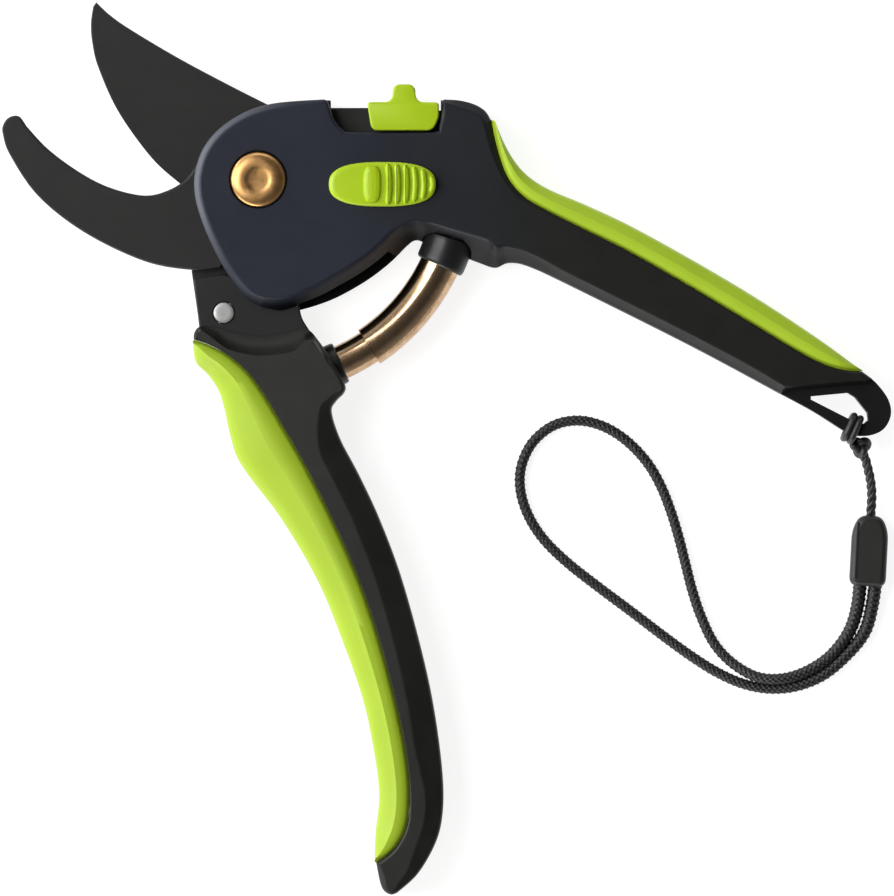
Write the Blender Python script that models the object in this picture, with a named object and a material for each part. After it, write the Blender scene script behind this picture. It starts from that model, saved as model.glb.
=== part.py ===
"""Bypass pruner lying flat on its back face, with its lever open and its wrist lanyard laid beside it.

Units in the tables below are millimetres. The origin is the pivot axis where it meets the back face,
+X runs from the jaws towards the upper handle, +Y towards the cutting blade's back, +Z out of the front face.
"""

import math

import bmesh
import bpy
from mathutils import Vector

MM = 0.001
GAP = 0.3

# Layers, from the back face up.
BODY_TOP = 16.0
PARTING = 8.0
BACK_WALL = 4.9
THIN_BACK_WALL = 2.6
FRONT_WALL = 11.8
BLADE_Z = (5.2, 7.8)
HOOK_Z = (8.2, 11.3)
BACK_CHEEK_Z = (3.0, 4.8)
EYE_PLATE_Z = (3.5, 12.5)
RIM = 1.6

# Pivot hardware.
BOLT_HEAD_R = 6.3
BOLT_SHANK_R = 4.0
BUSH_R = 5.2
PLATE_BORE_R = 5.5
BOSS_R = 14.0

# Telescopic spring guide, an arc about the pivot.
GUIDE_R = 45.0
GUIDE_Z = 8.0
SLEEVE_R = 4.6
SLEEVE_BORE_R = 4.2
INNER_TUBE_R = 3.9
INNER_TUBE_BORE_R = 3.3
SLEEVE_ANGLES = (-56.5, -21.0)
INNER_TUBE_ANGLES = (-71.6, -45.0)
COLLAR_ANGLES = (-66.8, -64.2)
BOOT_ANGLES = (-25.4, -17.0)
TUNNEL_ANGLES = (-30.0, 10.5)
SPRING_ANGLES = (-70.8, 9.6)
SPRING_TURNS = 18
SPRING_COIL_R = 2.5
SPRING_WIRE_R = 0.4

# Rivet through the lever's neck.
RIVET_AT = (-7.8, -29.9)
RIVET_R = 2.5

# Slides.
SELECTOR_AT = (27.9, -1.1)
SELECTOR_SIZE = (24.0, 10.2)
SELECTOR_TRAVEL = 6.0
SELECTOR_TOP = 18.4
STEM = (5.0, 3.4)
KEEPER = (8.0, 7.0)
POCKET_TOP = 13.4

# Screws that hold the two shells together, driven in from the back.
SCREWS_AT = [(32.0, -8.5), (46.3, 14.6), (63.0, -13.0), (108.0, -37.0)]
SCREW_HEAD_R = 2.2
SCREW_SHANK_R = 1.1

# Lanyard.
CORD_R = 1.3
LEADER_R = 1.2
HITCH_R = 0.75
BEAD_AT = (137.6, -83.5, 3.2)
BEAD_SIZE = (8.2, 16.0, 6.0)
BEAD_LEAN = -3.0

# Outlines. Each is a list of runs, and a run is a smooth curve through its points.
BLADE_SPINE = [(-36.6, 40.1), (-33.5, 37.2), (-28.8, 33.9), (-18.4, 27.7), (-7.0, 21.6), (2.5, 16.8)]
BLADE_NOSE = [(-36.6, 40.1), (-37.3, 39.1)]
BLADE_EDGE = [
    (-37.3, 39.1), (-37.8, 35.3), (-37.5, 31.0), (-36.1, 25.3), (-31.6, 15.4),
    (-24.1, 5.0), (-17.7, -0.8),
]
BLADE_HEEL = [(-17.7, -0.8), (-14.5, -4.5), (-13.6, -10.0), (-14.8, -16.0), (-15.1, -20.6)]
TANG_LEFT = [(-13.3, -33.3), (-7.5, -37.4), (-2.2, -40.8), (2.4, -46.0), (6.0, -52.5), (9.6, -58.5)]
TANG_TIP = [(9.6, -58.5), (12.5, -60.0), (14.0, -57.5)]
TANG_RIGHT = [(14.0, -57.5), (11.5, -48.0), (9.6, -40.0), (10.4, -34.5), (9.2, -30.5), (8.4, -21.5)]
CHEEK_TOP = [(-14.6, -22.3), (-7.9, -21.1)]
LOCK_HORN = [(13.6, -3.2), (27.0, -3.2), (27.0, 0.2), (14.0, 0.2)]

HOOK_MOUTH = [
    (-52.2, 12.1),
    (-47.3, 6.9),
    (-40.2, 1.7),
    (-33.5, -1.7),
    (-25.9, -3.5),
    (-20.5, -2.4),
    (-16.0, 0.5),
    (-12.6, 5.6),
    (-9.5, 10.3),
]
HOOK_NOSE = [(-57.6, 10.7), (-57.6, 11.9), (-56.8, 13.5), (-55.3, 14.4), (-53.7, 14.2), (-52.2, 12.1)]
HOOK_BACK = [
    (-57.6, 10.7), (-56.0, 5.8), (-49.6, -3.6), (-39.2, -11.8), (-25.9, -18.2),
    (-15.3, -20.2), (-8.5, -19.8),
]
HOOK_TAIL = [
    (17.0, -9.0), (20.5, -7.0), (36.4, 1.8), (37.4, 4.0), (37.4, 16.2),
    (17.2, 16.2), (17.2, 14.3), (7.5, 14.3),
]

HEAD_FRONT = [
    (14.8, 18.0),
    (7.7, 17.6),
    (2.3, 16.7),
    (-1.9, 15.3),
    (-6.9, 11.7),
    (-10.9, 6.8),
    (-13.6, 1.6),
    (-14.6, -2.7),
    (-13.6, -6.8),
    (-11.6, -13.1),
    (-8.4, -20.0),
    (-5.6, -23.8),
    (-2.4, -27.0),
    (0.6, -28.3),
]
HEAD_FOOT = [
    (0.6, -28.3), (4.8, -29.4), (9.1, -29.2), (16.5, -26.8), (23.7, -22.9),
    (29.1, -18.9), (33.1, -15.0),
]
SPRING_BAY = [(33.1, -15.0), (35.2, -13.5), (37.9, -14.2), (50.0, -18.7)]
UPPER_INNER = [
    (50.0, -18.7), (53.3, -19.7), (56.3, -18.6), (60.8, -19.4), (70.3, -23.8),
    (97.5, -37.4), (118.0, -48.4),
]
EYE_OUTER = [
    (118.0, -48.4),
    (125.0, -52.2),
    (132.0, -56.6),
    (134.9, -57.6),
    (138.2, -57.3),
    (140.8, -55.8),
    (142.2, -52.8),
    (141.6, -49.4),
    (138.9, -45.7),
    (135.6, -43.1),
]
UPPER_SEAM = [
    (135.6, -43.1),
    (131.5, -42.8),
    (126.8, -41.4),
    (121.4, -38.7),
    (111.2, -32.6),
    (97.5, -24.4),
    (83.9, -16.6),
    (73.7, -11.5),
    (65.6, -7.4),
    (60.1, -4.2),
    (56.7, -0.6),
    (54.7, 3.7),
    (53.2, 8.9),
    (52.3, 13.3),
]
SHOULDER = [(52.3, 13.3), (51.0, 15.4), (48.6, 16.9), (45.2, 17.8), (41.7, 18.0)]
HEAD_TOP = [(41.7, 18.0), (14.8, 18.0)]
UPPER_OUTER = [
    (135.0, -42.4),
    (124.8, -35.0),
    (111.2, -26.1),
    (97.5, -18.0),
    (83.9, -10.5),
    (73.7, -5.7),
    (65.6, -2.3),
    (60.6, 0.4),
    (57.2, 3.8),
    (54.6, 8.4),
    (52.8, 13.0),
]
NOTCH = [
    (15.8, 19.5), (16.1, 16.0), (17.2, 13.2), (18.9, 11.3), (21.4, 10.6),
    (38.9, 10.6), (40.6, 11.9), (41.1, 14.2), (41.1, 19.5),
]
EYE = [
    (124.2, -48.7), (132.6, -47.9), (134.2, -48.9), (137.0, -52.4), (137.2, -54.0),
    (136.2, -54.9), (134.0, -54.4), (124.2, -49.4),
]
EYE_PLATE = [
    (116.8, -48.4), (119.0, -47.3), (136.2, -46.0), (150.0, -38.0), (150.0, -70.0),
    (112.0, -62.0),
]
CAVITY = [
    (-40.0, 30.0),
    (2.4, 20.0),
    (6.2, 14.9),
    (16.5, 14.9),
    (16.5, 16.6),
    (38.0, 16.6),
    (38.0, 1.8),
    (20.5, -7.9),
    (20.6, -11.4),
    (40.0, -22.0),
    (20.0, -50.0),
    (-40.0, -50.0),
]

LEVER_SHOULDER = [
    (-14.5, -35.9), (-12.6, -35.0), (-6.4, -38.3), (2.1, -40.2), (9.3, -38.0),
    (12.9, -35.9),
]
LEVER_COLLAR = [(12.9, -35.9), (15.4, -38.9), (19.4, -45.9), (18.9, -48.3)]
LEVER_INNER = [
    (18.9, -48.3),
    (17.3, -49.9),
    (16.4, -52.2),
    (18.4, -58.4),
    (22.5, -66.2),
    (27.3, -76.5),
    (32.3, -90.0),
    (37.2, -108.0),
    (39.9, -121.5),
    (41.5, -135.0),
    (41.3, -143.5),
    (39.6, -149.6),
    (35.8, -156.0),
    (31.2, -160.2),
]
LEVER_END = [(31.2, -160.2), (29.6, -160.6), (27.7, -158.9), (26.5, -153.6)]
LEVER_SEAM = [
    (26.5, -153.6),
    (31.0, -149.8),
    (33.7, -143.5),
    (33.7, -132.5),
    (31.0, -117.7),
    (25.8, -98.7),
    (19.7, -82.8),
    (11.5, -65.9),
    (4.2, -53.0),
    (0.8, -47.4),
    (-2.7, -42.9),
    (-7.0, -39.3),
    (-11.3, -37.0),
    (-14.5, -35.9),
]
LEVER_OUTER = [
    (26.1, -153.2),
    (26.3, -147.0),
    (27.1, -138.5),
    (26.1, -129.5),
    (23.5, -117.0),
    (18.8, -103.5),
    (13.2, -90.0),
    (5.3, -76.5),
    (-1.5, -67.5),
    (-4.9, -62.3),
    (-6.5, -57.0),
    (-7.6, -52.0),
    (-8.9, -47.6),
    (-11.4, -43.8),
    (-14.1, -41.0),
    (-14.8, -36.4),
]

LOCK_PLATE = [
    (24.5, 17.0),
    (25.3, 11.9),
    (26.2, 11.0),
    (38.6, 11.0),
    (39.6, 11.7),
    (40.6, 14.0),
    (40.6, 17.3),
    (36.4, 17.4),
    (35.5, 18.2),
    (35.1, 20.6),
    (34.4, 21.4),
    (31.2, 21.4),
    (30.4, 20.6),
    (30.0, 18.2),
    (29.1, 17.4),
    (25.0, 17.4),
]
LOCK_PLATE_Z = (12.1, 15.6)
LOCK_BRIDGE = [(30.0, 16.7), (35.3, 16.7), (35.3, 20.4), (34.6, 21.2), (30.8, 21.2), (30.2, 20.4)]
LOCK_FOOT = [(29.5, 8.0), (35.3, 8.0), (35.3, 18.5), (30.0, 18.5), (29.5, 17.0)]
BLADE_LEVEL = (5.3, 7.7)

# Route of the wrist loop, from the bead's foot round and back to it: x, y and height of the cord's middle.
LOOP_ROUTE = [
    (135.4, -92.0, 3.0),
    (134.4, -96.0, 2.2),
    (131.6, -101.4, 1.5),
    (127.6, -106.3, 1.4),
    (122.8, -109.8, 1.4),
    (117.6, -111.3, 1.4),
    (112.2, -110.9, 1.4),
    (106.9, -108.3, 1.4),
    (102.7, -104.2, 1.4),
    (99.7, -98.2, 1.4),
    (97.7, -92.2, 1.4),
    (96.2, -86.3, 1.4),
    (94.7, -80.4, 1.4),
    (92.9, -74.5, 1.4),
    (90.5, -68.5, 1.4),
    (87.3, -63.2, 1.4),
    (82.6, -58.4, 1.4),
    (77.4, -55.3, 1.4),
    (71.8, -54.1, 1.4),
    (66.3, -55.3, 1.4),
    (61.7, -59.1, 1.4),
    (59.2, -64.4, 1.4),
    (59.0, -69.9, 1.4),
    (60.8, -75.6, 1.4),
    (64.3, -81.0, 1.4),
    (69.6, -86.2, 1.4),
    (76.6, -91.7, 1.4),
    (83.7, -97.0, 1.4),
    (91.2, -102.7, 1.4),
    (97.4, -107.2, 1.4),
    (103.3, -110.9, 1.4),
    (109.2, -113.5, 1.4),
    (115.2, -114.6, 1.4),
    (121.3, -114.0, 1.4),
    (127.3, -111.5, 1.4),
    (132.6, -107.0, 1.4),
    (136.6, -101.6, 1.5),
    (138.5, -96.0, 2.2),
    (139.0, -92.0, 3.0),
]
LEADER_ROUTE = [
    (136.5, -62.4, 6.9), (137.2, -64.8, 5.9), (137.9, -67.8, 4.8),
    (138.2, -71.2, 3.7), (138.0, -75.0, 3.25),
]
HITCH_AT = (133.6, -55.9, 8.0)
HITCH_SIZE = (2.8, 5.75)
HITCH_TURN = 66.0
KNOT_AT = (135.5, -60.0, 7.6)
KNOT_R = 2.0


def material(name, colour, roughness, metallic=0.0):
    """A Principled material in the part's own colour."""
    made = bpy.data.materials.new(name)
    made.use_nodes = True
    shader = made.node_tree.nodes["Principled BSDF"]
    shader.inputs["Base Color"].default_value = (*colour, 1.0)
    shader.inputs["Roughness"].default_value = roughness
    shader.inputs["Metallic"].default_value = metallic
    return made


def smooth(points, steps=2):
    """Points along a smooth curve through the given ones, which may be in the plane or in space."""
    padded = [points[0], *points, points[-1]]
    found = []
    for start in range(len(points) - 1):
        a, b, c, d = (Vector(p) for p in padded[start : start + 4])
        for step in range(steps):
            t = step / steps
            bend = (2 * a - 5 * b + 4 * c - d) * t**2 + (3 * b - a - 3 * c + d) * t**3
            found.append(0.5 * (2 * b + (c - a) * t + bend))
    return [*found, Vector(points[-1])]


def evenly(points, count):
    """The given number of points, evenly spaced along a smooth curve."""
    dense = smooth(points, 12)
    reach = [0.0]
    for before, after in zip(dense, dense[1:]):
        reach.append(reach[-1] + (after - before).length)
    found = []
    at = 0
    for index in range(count):
        goal = reach[-1] * index / (count - 1)
        while at < len(dense) - 2 and reach[at + 1] < goal:
            at += 1
        part = (goal - reach[at]) / max(reach[at + 1] - reach[at], 1e-9)
        found.append(dense[at].lerp(dense[at + 1], part))
    return found


def joined(runs, steps=2):
    """One closed outline from smooth runs that meet end to end."""
    found = []
    for run in runs:
        found += smooth(run, steps)[:-1] if len(run) > 2 else [Vector(run[0])]
    return found


def arc(radius, start, end, count):
    """Points on a circle about the pivot, in degrees from +X."""
    angles = [start + (end - start) * i / (count - 1) for i in range(count)]
    return [(radius * math.cos(math.radians(a)), radius * math.sin(math.radians(a))) for a in angles]


def circle(centre, radius, count=20):
    """A closed ring of points."""
    turns = [2 * math.pi * i / count for i in range(count)]
    return [Vector((centre[0] + radius * math.cos(t), centre[1] + radius * math.sin(t))) for t in turns]


def rounded_box(centre, size, corner, count=3):
    """A closed rectangle with round corners."""
    found = []
    for sign_x, sign_y, start in ((1, 1, 0), (-1, 1, 90), (-1, -1, 180), (1, -1, 270)):
        middle = (centre[0] + sign_x * (size[0] / 2 - corner), centre[1] + sign_y * (size[1] / 2 - corner))
        for step in range(count + 1):
            turn = math.radians(start + 90 * step / count)
            found.append(Vector((middle[0] + corner * math.cos(turn), middle[1] + corner * math.sin(turn))))
    return found


def anticlockwise(points):
    """The same closed outline, turned if need be so that it runs anticlockwise."""
    area = sum(a[0] * b[1] - b[0] * a[1] for a, b in zip(points, [*points[1:], points[0]]))
    return points if area > 0 else points[::-1]


def shifted(points, distance):
    """An open curve moved sideways, to the left of its direction."""
    found = []
    for index, point in enumerate(points):
        before = points[max(index - 1, 0)]
        after = points[min(index + 1, len(points) - 1)]
        along = (after - before).normalized()
        found.append(point + distance * Vector((-along.y, along.x)))
    return found


def keep(name, mesh_data, finish, cutter=False):
    """Put a mesh in the scene as a named piece, or as a hidden cutter."""
    mesh = bpy.data.meshes.new(name)
    mesh_data.normal_update()
    mesh_data.to_mesh(mesh)
    mesh_data.free()
    mesh.materials.append(finish)
    mesh.shade_smooth()
    mesh.set_sharp_from_angle(angle=math.radians(32))
    piece = bpy.data.objects.new(name, mesh)
    bpy.context.scene.collection.objects.link(piece)
    if cutter:
        piece.hide_render = True
        piece.display_type = "WIRE"
    return piece


def prism(name, outline, low, high, finish=None, rims=None, rim=RIM, cutter=False):
    """An extruded outline. rims says which of its front and back edges are rounded, and where along them."""
    outline = anticlockwise([Vector(p) for p in outline])
    work = bmesh.new()
    floor = [work.verts.new((p.x * MM, p.y * MM, low * MM)) for p in outline]
    roof = [work.verts.new((p.x * MM, p.y * MM, high * MM)) for p in outline]
    count = len(outline)
    for index in range(count):
        after = (index + 1) % count
        work.faces.new((floor[index], floor[after], roof[after], roof[index]))
    work.faces.new(roof)
    work.faces.new(floor[::-1])
    if rims:
        rounded = [
            edge
            for level, ring in (("front", roof), ("back", floor))
            if level in rims["levels"]
            for edge in edges_of(ring)
            if all(rims["where"](vertex.co / MM) for vertex in edge.verts)
        ]
        bmesh.ops.bevel(work, geom=rounded, offset=rim * MM, segments=2, profile=0.5, affect="EDGES")
    return keep(name, work, finish or FINISHES["tool"], cutter)


def edges_of(ring):
    """The edges that join neighbours on a closed ring of vertices."""
    found = []
    for vertex, other in zip(ring, [*ring[1:], ring[0]]):
        found += [edge for edge in vertex.link_edges if other in edge.verts]
    return found


def turned(name, profile, centre, finish, count=20):
    """A solid of revolution about a vertical axis: profile runs as (radius, height) from axis to axis."""
    work = bmesh.new()
    rings = []
    for radius, height in profile:
        if radius == 0:
            rings.append([work.verts.new((centre[0] * MM, centre[1] * MM, height * MM))])
        else:
            rings.append([work.verts.new((p.x * MM, p.y * MM, height * MM)) for p in circle(centre, radius, count)])
    closed = profile[0][0] != 0
    pairs = list(zip(rings, rings[1:])) + ([(rings[-1], rings[0])] if closed else [])
    for lower, upper in pairs:
        bridge(work, lower, upper)
    bmesh.ops.recalc_face_normals(work, faces=work.faces)
    return keep(name, work, finish)


def bridge(work, lower, upper):
    """Join two rings with the same number of vertices, or a ring with a single point."""
    count = max(len(lower), len(upper))
    for index in range(count):
        after = (index + 1) % count
        corners = [
            lower[index % len(lower)],
            lower[after % len(lower)],
            upper[after % len(upper)],
            upper[index % len(upper)],
        ]
        unique = list(dict.fromkeys(corners))
        if len(unique) > 2:
            work.faces.new(unique)


def guide_frame(angle):
    """The middle of the spring guide at an angle about the pivot, with its outward and upward directions."""
    turn = math.radians(angle)
    outward = Vector((math.cos(turn), math.sin(turn), 0))
    return outward * GUIDE_R + Vector((0, 0, GUIDE_Z)), outward, Vector((0, 0, 1))


def guide_ring(work, angle, radius, count=16):
    """A ring of vertices round the spring guide's middle line."""
    middle, outward, upward = guide_frame(angle)
    turns = [2 * math.pi * i / count for i in range(count)]
    return [work.verts.new((middle + radius * (math.cos(t) * outward + math.sin(t) * upward)) * MM) for t in turns]


def guide_tube(name, radius, bore, angles, finish=None, cutter=False):
    """A curved tube about the pivot, or a curved rod where bore is 0."""
    work = bmesh.new()
    steps = max(2, round((angles[1] - angles[0]) / 4))
    stations = [angles[0] + (angles[1] - angles[0]) * i / steps for i in range(steps + 1)]
    outer = [guide_ring(work, angle, radius) for angle in stations]
    if bore:
        inner = [guide_ring(work, angle, bore) for angle in stations]
        loop = [*outer, *inner[::-1]]
        for before, after in zip(loop, [*loop[1:], loop[0]]):
            bridge(work, before, after)
    else:
        for before, after in zip(outer, outer[1:]):
            bridge(work, before, after)
        work.faces.new(outer[0][::-1])
        work.faces.new(outer[-1])
    bmesh.ops.recalc_face_normals(work, faces=work.faces)
    return keep(name, work, finish or FINISHES["tool"], cutter)


def grip(name, seam, outer, clear, finish):
    """A soft grip lofted between the seam with its handle and the handle's outer edge, domed across."""
    stations = 26
    section = [(0, 0.2), (0, 15.8), (0.4, 15.8), (0.78, 14.0), (1, 10.6), (1, 5.4), (0.78, 2.0), (0.4, 0.2)]
    inner = shifted(evenly(seam, stations), clear)
    edge = evenly(outer, stations)
    work = bmesh.new()
    rings = []
    for near, far in zip(inner, edge):
        rings.append([work.verts.new((*(near.lerp(far, t) * MM), z * MM)) for t, z in section])
    for before, after in zip(rings, rings[1:]):
        bridge(work, before, after)
    work.faces.new(rings[0])
    work.faces.new(rings[-1][::-1])
    bmesh.ops.recalc_face_normals(work, faces=work.faces)
    return keep(name, work, finish)


def cut(piece, *cutters):
    """Take the cutters' shapes out of a piece."""
    for tool in cutters:
        boolean(piece, tool, "DIFFERENCE")
    return piece


def boolean(piece, tool, operation):
    """Take a tool's shape out of a piece, or add it."""
    step = piece.modifiers.new(tool.name, "BOOLEAN")
    step.operation = operation
    step.solver = "EXACT"
    step.object = tool


def hole(name, centre, radius, low, high, count=16):
    """A round cutter."""
    return prism(name, circle(centre, radius, count), low, high, cutter=True)


def cord(name, route, radius, finish, points=None, closed=False):
    """A round cord: a curve along the route with a bevel and filled ends."""
    curve = bpy.data.curves.new(name, "CURVE")
    curve.dimensions = "3D"
    curve.bevel_depth = radius * MM
    curve.bevel_resolution = 2
    curve.use_fill_caps = True
    line = curve.splines.new("POLY")
    middle = route if points is None else evenly(route, points)
    line.points.add(len(middle) - 1)
    for spot, place in zip(line.points, middle):
        spot.co = (*(Vector(place) * MM), 1.0)
    line.use_cyclic_u = closed
    curve.materials.append(finish)
    piece = bpy.data.objects.new(name, curve)
    bpy.context.scene.collection.objects.link(piece)
    return piece


def finishes():
    """The materials, one for each finish on the tool."""
    return {
        "shell": material("shell", (0.030, 0.034, 0.042), 0.45),
        "handle": material("handle", (0.022, 0.022, 0.021), 0.55),
        "grip": material("grip", (0.50, 0.80, 0.02), 0.5),
        "button": material("button", (0.48, 0.78, 0.02), 0.4),
        "blade": material("blade", (0.035, 0.035, 0.034), 0.5, 0.6),
        "copper": material("copper", (0.72, 0.38, 0.18), 0.3, 1.0),
        "tube": material("tube", (0.62, 0.43, 0.26), 0.2, 1.0),
        "steel": material("steel", (0.62, 0.62, 0.60), 0.4, 1.0),
        "plastic": material("plastic", (0.02, 0.02, 0.02), 0.5),
        "cord": material("cord", (0.012, 0.012, 0.012), 0.8),
        "tool": material("tool", (0.8, 0.8, 0.8), 0.5),
    }


def shell_runs():
    """The head and upper handle's outline, without the grip."""
    return [HEAD_FRONT, HEAD_FOOT, SPRING_BAY, UPPER_INNER, EYE_OUTER, UPPER_SEAM, SHOULDER, HEAD_TOP]


def away_from(run, distance):
    """A test that is true for points that don't stand on the given run."""
    line = [Vector(p) for p in smooth(run, 6)]
    return lambda place: min((Vector((place.x, place.y)) - p).length for p in line) > distance


def shells():
    """The two halves of the head and upper handle, and all that is cut into them."""
    outline = joined(shell_runs())
    off_seam = away_from(UPPER_SEAM, 1.2)
    front_rims = {"levels": ("front",), "where": off_seam}
    back_rims = {"levels": ("back",), "where": off_seam}
    front = prism("front_shell", outline, PARTING + GAP / 2, BODY_TOP, FINISHES["shell"], front_rims)
    back = prism("back_shell", outline, 0.0, PARTING - GAP / 2, FINISHES["shell"], back_rims)
    tunnel = guide_tube("guide_tunnel", SLEEVE_R + 0.5, 0, TUNNEL_ANGLES, cutter=True)
    boot_seat = guide_tube("boot_seat", 6.1, 0, (-32.0, -16.5), cutter=True)
    eye = prism("eye_hole", EYE, -1, BODY_TOP + 1, cutter=True)
    cut(front, tunnel, boot_seat, eye)
    cut(back, tunnel, boot_seat, eye)
    front_shell_cuts(front)
    back_shell_cuts(back)
    for index, place in enumerate(SCREWS_AT, 1):
        thread = hole(f"screw_bore_{index}", place, SCREW_SHANK_R + 0.35, 1, 13.2, 12)
        seat = hole(f"screw_seat_{index}", place, SCREW_HEAD_R + 0.4, -1, 2.6)
        cut(front, thread)
        cut(back, thread, seat)


def front_shell_cuts(front):
    """The head's cavity, the lock's notch, the selector's slot and the bolt's recess."""
    x, y = SELECTOR_AT
    slot_x = x - SELECTOR_TRAVEL / 2
    cut(
        front,
        prism("front_cavity", CAVITY, 7, FRONT_WALL, cutter=True),
        prism("front_notch", NOTCH, 7, BODY_TOP + 1, cutter=True),
        prism(
            "stem_slot",
            rounded_box((slot_x, y), (STEM[0] + SELECTOR_TRAVEL + 0.8, STEM[1] + 0.8), 1.5),
            11,
            17,
            cutter=True,
        ),
        prism(
            "keeper_pocket",
            rounded_box((slot_x, y), (KEEPER[0] + SELECTOR_TRAVEL + 0.8, KEEPER[1] + 0.8), 0.6, 1),
            11,
            POCKET_TOP,
            cutter=True,
        ),
        hole("bolt_recess", (0, 0), BOLT_HEAD_R + 0.4, 13.9, 17, 24),
        hole("front_bolt_hole", (0, 0), BOLT_SHANK_R + 0.35, 7, 15),
        prism("front_eye_step", EYE_PLATE, EYE_PLATE_Z[1], BODY_TOP + 1, cutter=True),
    )


def back_shell_cuts(back):
    """The blade's space, the deeper space the lever's cheek sweeps, the lock's way through and the nut's recess."""
    sweep = [*arc(20.4, 212, 333, 12), (36.0, -18.3), (20.0, -50.0), (-40.0, -50.0), (-40.0, -25.0)]
    cut(
        back,
        prism("back_cavity", CAVITY, BACK_WALL, 9, cutter=True),
        prism("cheek_sweep", sweep, THIN_BACK_WALL, 9, cutter=True),
        prism("lock_way", NOTCH, BACK_WALL, 9, cutter=True),
        prism("back_notch", [(16.2, 15.8), (41.0, 15.8), (41.0, 20.0), (16.2, 20.0)], -1, 9, cutter=True),
        hole("nut_recess", (0, 0), BOLT_HEAD_R + 0.4, -1, 2.7, 24),
        hole("nut_sleeve_hole", (0, 0), BUSH_R + 0.3, -1, 9),
        prism("back_eye_step", EYE_PLATE, -1, EYE_PLATE_Z[0], cutter=True),
    )


def blade():
    """The cutting blade, with its boss, the horn that the lock holds and the tang in the lever."""
    boss = arc(BOSS_R, 50, 3, 5)
    below = arc(BOSS_R, -14, -52, 4)
    runs = [
        BLADE_SPINE[::-1],
        BLADE_NOSE,
        BLADE_EDGE,
        BLADE_HEEL,
        [BLADE_HEEL[-1], TANG_LEFT[0]],
        TANG_LEFT,
        TANG_TIP,
        TANG_RIGHT,
    ]
    outline = [*joined(runs), *(Vector(p) for p in [TANG_RIGHT[-1], *below[::-1], *LOCK_HORN, *boss[::-1]])]
    made = prism("cutting_blade", outline, *BLADE_Z, FINISHES["blade"])
    return cut(
        made,
        hole("blade_bore", (0, 0), PLATE_BORE_R, 4, 9),
        hole("blade_rivet_hole", RIVET_AT, RIVET_R + GAP, 4, 9),
    )


def cheeks():
    """The two steel cheeks that sandwich the blade's tang in the lever's neck."""
    top = [Vector(p) for p in [*CHEEK_TOP, *arc(22.5, -105, -69, 5)]]
    runs = [[TANG_LEFT[0], CHEEK_TOP[0]][::-1], TANG_LEFT, TANG_TIP, TANG_RIGHT]
    outline = [*joined(runs), *top[::-1]]
    outline = [p for i, p in enumerate(outline) if (p - outline[i - 1]).length > 0.2]
    for name, (low, high) in (("front_cheek", HOOK_Z), ("back_cheek", BACK_CHEEK_Z)):
        made = prism(name, outline, low, high, FINISHES["blade"])
        cut(made, hole(f"{name}_rivet_hole", RIVET_AT, RIVET_R + GAP, low - 1, high + 1))


def hook():
    """The hooked jaw with its boss and the tail that the shells clamp."""
    inside = arc(BOSS_R, 60, 132, 6)
    under = arc(20.0, -113, -80, 5)
    runs = [HOOK_MOUTH[::-1], HOOK_NOSE[::-1], HOOK_BACK]
    tail = [Vector(p) for p in [*under, (8.0, -14.0), *HOOK_TAIL, *inside]]
    made = prism("hook_jaw", [*joined(runs), *tail], *HOOK_Z, FINISHES["blade"])
    return cut(made, hole("hook_bore", (0, 0), PLATE_BORE_R, 7, 12))


def pivot_hardware():
    """Bolt, washer, bush and nut on the pivot."""
    centre = (0, 0)
    head = [
        (0, 16.3),
        (3.0, 16.3),
        (3.6, 16.8),
        (5.4, 16.8),
        (BOLT_HEAD_R, 16.2),
        (BOLT_HEAD_R, 15.0),
        (BOLT_SHANK_R, 15.0),
        (BOLT_SHANK_R, 1.3),
        (0, 1.3),
    ]
    turned("pivot_bolt", head, centre, FINISHES["copper"], 24)
    turned("bolt_washer", [(6.0, 14.2), (6.0, 14.7), (4.4, 14.7), (4.4, 14.2)], centre, FINISHES["steel"])
    turned("pivot_bush", [(BUSH_R, 5.2), (BUSH_R, 11.3), (4.3, 11.3), (4.3, 5.2)], centre, FINISHES["steel"])
    nut = [(0, 0), (5.9, 0), (BOLT_HEAD_R, 0.4), (BOLT_HEAD_R, 2.4), (5.2, 2.4)]
    nut += [(5.2, 4.7), (4.3, 4.7), (4.3, 1.0), (0, 1.0)]
    made = turned("pivot_nut", nut, centre, FINISHES["steel"], 24)
    holes = [hole(f"spanner_hole_{side}", (side * 4.2, 0), 0.7, -1, 0.8, 8) for side in (-1, 1)]
    cut(made, *holes)


def rivet():
    """The rivet through both cheeks and the tang."""
    profile = [(0, 3.1), (RIVET_R, 3.1), (RIVET_R, 11.3), (RIVET_R - 0.3, 11.5), (0, 11.5)]
    turned("tang_rivet", profile, RIVET_AT, FINISHES["steel"], 16)


def lever_handle():
    """The lower handle with its pockets for the neck and the spring guide, its grip and its collar."""
    runs = [LEVER_SHOULDER, LEVER_COLLAR, LEVER_INNER, LEVER_END, LEVER_SEAM]
    made = prism(
        "lever_handle",
        joined(runs),
        0.0,
        BODY_TOP,
        FINISHES["handle"],
        {"levels": ("front", "back"), "where": away_from(LEVER_SEAM, 1.2)},
        1.4,
    )
    tang = [Vector((-15.5, -30.0)), Vector((-14.0, -33.8))]
    for run in (TANG_LEFT, TANG_TIP, TANG_RIGHT):
        tang += shifted(smooth(run), -0.35)
    cut(made, prism("tang_pocket", tang, 2.6, 11.9, cutter=True))
    cut(made, guide_tube("tube_socket", INNER_TUBE_R + 0.3, 0, (-72.2, -55.0), cutter=True))
    cut(made, guide_tube("collar_seat", 5.5, 0, (-67.2, -55.0), cutter=True))
    grip("lever_grip", LEVER_SEAM, LEVER_OUTER, 0.35, FINISHES["grip"])
    guide_tube("spring_collar", 5.2, INNER_TUBE_R + 0.3, COLLAR_ANGLES, FINISHES["plastic"])
    guide_tube("inner_tube", INNER_TUBE_R, INNER_TUBE_BORE_R, INNER_TUBE_ANGLES, FINISHES["tube"])


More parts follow.
